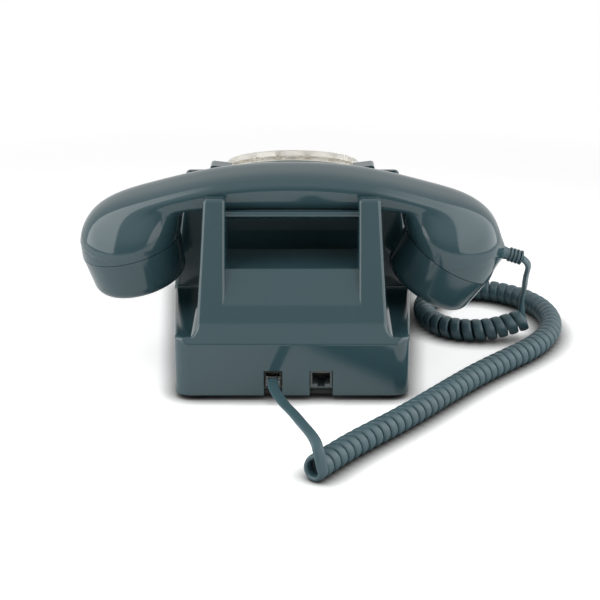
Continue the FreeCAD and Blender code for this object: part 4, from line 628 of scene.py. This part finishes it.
def build_handset():
    """The handset's moulded shell, with a socket at each ear for its cap."""
    socket_share, socket_depth = 0.87, 6
    rings = flare(crease(crease(handset_rings(columns=144), "receiver"), "transmitter"))
    ends = []
    for ear, ring in (("receiver", rings[0]), ("transmitter", rings[-1])):
        joint, _, axis = ear_axes(ear)
        inner = joint + (ring - joint) * socket_share
        ends.append([inner + axis * socket_depth, inner])
    rings = np.concatenate([ends[0], rings, ends[1][::-1]])
    mesh = tube_mesh("handset_body", handset_to_world(rings * MM))
    mesh.set_sharp_from_angle(angle=SHARP_ANGLE)
    body = new_piece("handset_body", mesh, "abs")
    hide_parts("handset_shell")
    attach(body, "handset")


def build_digits():
    """The dial's ten digits, printed on the number plate under the finger holes."""
    size = 8.5 * MM
    ink = 0.04 * MM
    lift = 0.05
    spacing = 30
    points, faces = [], []
    for step in range(10):
        curve = bpy.data.curves.new("digit", "FONT")
        curve.body = str((step + 1) % 10)
        curve.size = size
        curve.align_x = "CENTER"
        curve.align_y = "CENTER"
        curve.extrude = ink
        text = bpy.data.objects.new("digit", curve)
        mesh = bpy.data.meshes.new_from_object(text)
        shape = np.empty(len(mesh.vertices) * 3)
        mesh.vertices.foreach_get("co", shape)
        angle = math.radians(spacing * (step + 1))
        way = np.array([math.cos(angle), math.sin(angle), 0.0])
        shape = shape.reshape(-1, 3) + way * FINGER_CIRCLE * MM
        first = sum(len(part) for part in points)
        points.append(shape)
        faces += [[first + corner for corner in face.vertices] for face in mesh.polygons]
        bpy.data.objects.remove(text)
        bpy.data.curves.remove(curve)
        bpy.data.meshes.remove(mesh)
    slope = math.radians(DIAL_SLOPE)
    right = np.array([-1.0, 0.0, 0.0])
    up = np.array([0.0, -math.cos(slope), math.sin(slope)])
    out = np.array([0.0, math.sin(slope), math.cos(slope)])
    flat = np.vstack(points)
    place = np.array(DIAL_PLACE) * MM + out * (NUMBER_RING_TOP + lift) * MM
    mesh = bpy.data.meshes.new("dial_digits")
    mesh.from_pydata((place + flat @ np.stack([right, up, out])).tolist(), [], faces)
    digits = new_piece("dial_digits", mesh, "ink")
    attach(digits, "base")


def build_world(settings):
    """A dim even sky, with a paler backdrop above and beyond the telephone that its gloss mirrors.

    The camera sees it white, and so does light that passes through clear plastic. The backdrop rises
    from nothing to its full strength between two values of a direction's Y and Z.
    """
    beyond_from, beyond_full = -0.2, 0.5
    above_from, above_full = 0.1, 0.6
    world = bpy.data.worlds.new("studio")
    bpy.context.scene.world = world
    world.use_nodes = True
    tree = world.node_tree
    tree.nodes.clear()
    path = add_node(tree, "ShaderNodeLightPath")
    way = add_node(tree, "ShaderNodeTexCoord").outputs["Generated"]
    sides = add_node(tree, "ShaderNodeSeparateXYZ", {"Vector": way}).outputs
    beyond = add_node(tree, "ShaderNodeMapRange", {"Value": sides["Y"], "From Min": beyond_from,
                                                   "From Max": beyond_full})
    above = add_node(tree, "ShaderNodeMapRange", {"Value": sides["Z"], "From Min": above_from,
                                                  "From Max": above_full})
    pale = add_node(tree, "ShaderNodeMath", {0: beyond.outputs[0], 1: above.outputs[0]},
                    operation="MAXIMUM")
    lift = add_node(tree, "ShaderNodeMath", {0: pale.outputs[0], 1: settings.backdrop - settings.sky},
                    operation="MULTIPLY")
    mirrored = add_node(tree, "ShaderNodeMath", {0: lift.outputs[0], 1: path.outputs["Is Glossy Ray"],
                                                 2: settings.sky}, operation="MULTIPLY_ADD")
    seen = add_node(tree, "ShaderNodeMath", {0: path.outputs["Is Camera Ray"],
                                             1: path.outputs["Is Transmission Ray"]},
                    operation="MAXIMUM")
    strength = add_node(tree, "ShaderNodeMath", {0: mirrored.outputs[0], 1: seen.outputs[0]},
                        operation="MAXIMUM")
    light = add_node(tree, "ShaderNodeBackground", {"Color": (1.0, 1.0, 1.0, 1.0),
                                                    "Strength": strength.outputs[0]})
    add_node(tree, "ShaderNodeOutputWorld", {"Surface": light.outputs[0]})


def build_floor(settings):
    """Pale paper that keeps the telephone's shadow, glows where seen and fades to white at its edge.

    Near what stands on it, a contact shadow is painted into its colour and its glow: both darken as the
    open share of the space above it to a power.
    """
    reach, fade_from, fade_full = 0.6, 0.34, 0.58
    contact_power = 2.0
    material, tree = blank_material("matt_white_paper")
    path = add_node(tree, "ShaderNodeLightPath")
    mirrored = add_node(tree, "ShaderNodeMath", {0: path.outputs["Is Glossy Ray"],
                                                 1: path.outputs["Is Transmission Ray"]},
                        operation="MAXIMUM")
    dim = add_node(tree, "ShaderNodeMath", {0: mirrored.outputs[0], 1: settings.mirrored_glow},
                   operation="MULTIPLY")
    lift = add_node(tree, "ShaderNodeMath", {0: path.outputs["Is Camera Ray"], 1: settings.floor_glow,
                                             2: dim.outputs[0]}, operation="MULTIPLY_ADD")
    # Painted contact shadow: the open share of the space above, to a power, darkens the paper near what
    # stands on it
    open_sky = add_node(tree, "ShaderNodeAmbientOcclusion", {"Distance": settings.contact}, samples=8)
    painted_contact_shadow = add_node(tree, "ShaderNodeMath", {0: open_sky.outputs["AO"], 1: contact_power},
                     operation="POWER")
    colour = add_node(tree, "ShaderNodeVectorMath", {0: settings.floor_colour[:3],
                                                     "Scale": painted_contact_shadow.outputs[0]}, operation="SCALE")
    paper = add_node(tree, "ShaderNodeBsdfDiffuse", {"Color": colour.outputs[0]})
    # The glow is darkened by the same painted contact shadow
    shaded_lift = add_node(tree, "ShaderNodeMath", {0: lift.outputs[0], 1: painted_contact_shadow.outputs[0]},
                           operation="MULTIPLY")
    glow = add_node(tree, "ShaderNodeEmission", {"Strength": shaded_lift.outputs[0]})
    both = add_node(tree, "ShaderNodeAddShader", {0: paper.outputs[0], 1: glow.outputs[0]})
    place = add_node(tree, "ShaderNodeTexCoord").outputs["Object"]
    away = add_node(tree, "ShaderNodeVectorMath", {0: place}, operation="LENGTH").outputs["Value"]
    edge = add_node(tree, "ShaderNodeMapRange", {"Value": away, "From Min": fade_from,
                                                 "From Max": fade_full})
    fade = add_node(tree, "ShaderNodeMath", {0: edge.outputs[0], 1: path.outputs["Is Camera Ray"]},
                    operation="MULTIPLY")
    white = add_node(tree, "ShaderNodeEmission", {"Strength": 1.0})
    close_material(tree, add_node(tree, "ShaderNodeMixShader", {0: fade.outputs[0], 1: both.outputs[0],
                                                                2: white.outputs[0]}))
    corners = [(-reach, -reach, 0), (reach, -reach, 0), (reach, reach, 0), (-reach, reach, 0)]
    mesh = bpy.data.meshes.new("floor")
    mesh.from_pydata(corners, [], [(0, 1, 2, 3)])
    mesh.materials.append(material)
    floor = bpy.data.objects.new("floor", mesh)
    bpy.context.scene.collection.objects.link(floor)


def fade_lamp(light, start):
    """Lets a lamp fade over its upper part, so that it has no hard edge in the gloss."""
    least = 0.1
    light.use_nodes = True
    tree = light.node_tree
    tree.nodes.clear()
    spot = add_node(tree, "ShaderNodeNewGeometry").outputs["Parametric"]
    height = add_node(tree, "ShaderNodeSeparateXYZ", {"Vector": spot}).outputs["Y"]
    level = add_node(tree, "ShaderNodeMapRange", {"Value": height, "From Min": start, "To Min": 1.0,
                                                  "To Max": least}, interpolation_type="SMOOTHSTEP")
    glow = add_node(tree, "ShaderNodeEmission", {"Strength": level.outputs[0]})
    add_node(tree, "ShaderNodeOutputLight", {"Surface": glow.outputs[0]})


def build_stage(settings):
    """Pale paper, an even sky, a glowing wall on each side, and the camera behind the telephone."""
    scene = bpy.context.scene
    scene.view_settings.view_transform = "Standard"
    build_world(settings)
    build_floor(settings)
    for name, (place, target, sides, power, fade) in LAMPS.items():
        light = bpy.data.lights.new(name, "AREA")
        light.shape = "RECTANGLE"
        light.size, light.size_y = sides
        light.energy = power
        fade_lamp(light, fade)
        lamp = bpy.data.objects.new(name, light)
        lamp.location = place
        lamp.visible_camera = False
        aim = np.array(target) - np.array(place)
        lamp.rotation_euler = (math.atan2(math.hypot(aim[0], aim[1]), -aim[2]), 0.0,
                               math.atan2(-aim[0], aim[1]))
        scene.collection.objects.link(lamp)

    lens = bpy.data.cameras.new("camera")
    lens.lens = settings.lens
    lens.sensor_width = 36.0
    lens.clip_end = 20.0
    camera = bpy.data.objects.new("camera", lens)
    camera.location = CAMERA_PLACE
    camera.rotation_euler = (math.radians(90) - settings.elevation, 0.0, 0.0)
    scene.collection.objects.link(camera)
    scene.camera = camera


class TELEPHONE_OT_finishes(bpy.types.Operator):
    """Gives every solid of the telephone its finish"""
    bl_idname = "telephone.finishes"
    bl_label = "Finishes"

    def execute(self, context):
        finishes.update(make_finishes(context.scene.telephone_finish))
        for finish, names in NODE_FINISHES.items():
            for name in names:
                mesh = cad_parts[name].data
                mesh.materials.clear()
                mesh.materials.append(finishes[finish])
        return {"FINISHED"}


class TELEPHONE_OT_boot(bpy.types.Operator):
    """Makes the boot that guards the cord at the handset"""
    bl_idname = "telephone.boot"
    bl_label = "Boot"

    def execute(self, context):
        build_boot()
        return {"FINISHED"}


class TELEPHONE_OT_cord(bpy.types.Operator):
    """Makes the curly cord from the plug to the handset"""
    bl_idname = "telephone.cord"
    bl_label = "Cord"

    def execute(self, context):
        build_cord(context.scene.telephone_cord)
        return {"FINISHED"}


class TELEPHONE_OT_handset(bpy.types.Operator):
    """Makes the handset's shell"""
    bl_idname = "telephone.handset"
    bl_label = "Handset"

    def execute(self, context):
        build_handset()
        return {"FINISHED"}


class TELEPHONE_OT_digits(bpy.types.Operator):
    """Prints the dial's digits"""
    bl_idname = "telephone.digits"
    bl_label = "Digits"

    def execute(self, context):
        build_digits()
        return {"FINISHED"}


class TELEPHONE_OT_stage(bpy.types.Operator):
    """Sets the floor, the light and the camera"""
    bl_idname = "telephone.stage"
    bl_label = "Stage"

    def execute(self, context):
        build_stage(context.scene.telephone_stage)
        return {"FINISHED"}


OPERATORS = (TELEPHONE_OT_finishes, TELEPHONE_OT_stage, TELEPHONE_OT_boot, TELEPHONE_OT_cord,
             TELEPHONE_OT_handset, TELEPHONE_OT_digits)
GROUPS = {"telephone_finish": FinishSettings, "telephone_stage": StageSettings,
          "telephone_cord": CordSettings}


class TELEPHONE_PT_panel(bpy.types.Panel):
    """Lists the telephone's pieces and sizes"""
    bl_label = "Telephone"
    bl_idname = "TELEPHONE_PT_panel"
    bl_space_type = "VIEW_3D"
    bl_region_type = "UI"
    bl_category = "Telephone"

    def draw(self, context):
        for operator in OPERATORS:
            self.layout.operator(operator.bl_idname)
        for name, group in GROUPS.items():
            box = self.layout.box()
            for setting in group.__annotations__:
                box.prop(getattr(context.scene, name), setting)


def register():
    """Registers the settings, operators and panel."""
    for group in GROUPS.values():
        bpy.utils.register_class(group)
    for operator in OPERATORS:
        bpy.utils.register_class(operator)
    bpy.utils.register_class(TELEPHONE_PT_panel)
    for name, group in GROUPS.items():
        setattr(bpy.types.Scene, name, bpy.props.PointerProperty(type=group))


def unregister():
    """Removes what register added."""
    for name in GROUPS:
        delattr(bpy.types.Scene, name)
    bpy.utils.unregister_class(TELEPHONE_PT_panel)
    for operator in reversed(OPERATORS):
        bpy.utils.unregister_class(operator)
    for group in reversed(list(GROUPS.values())):
        bpy.utils.unregister_class(group)


def main():
    """Builds the telephone's looks."""
    register()
    bpy.ops.telephone.finishes()
    bpy.ops.telephone.stage()
    bpy.ops.telephone.boot()
    bpy.ops.telephone.cord()
    bpy.ops.telephone.handset()
    bpy.ops.telephone.digits()


if __name__ == "__main__":
    main()
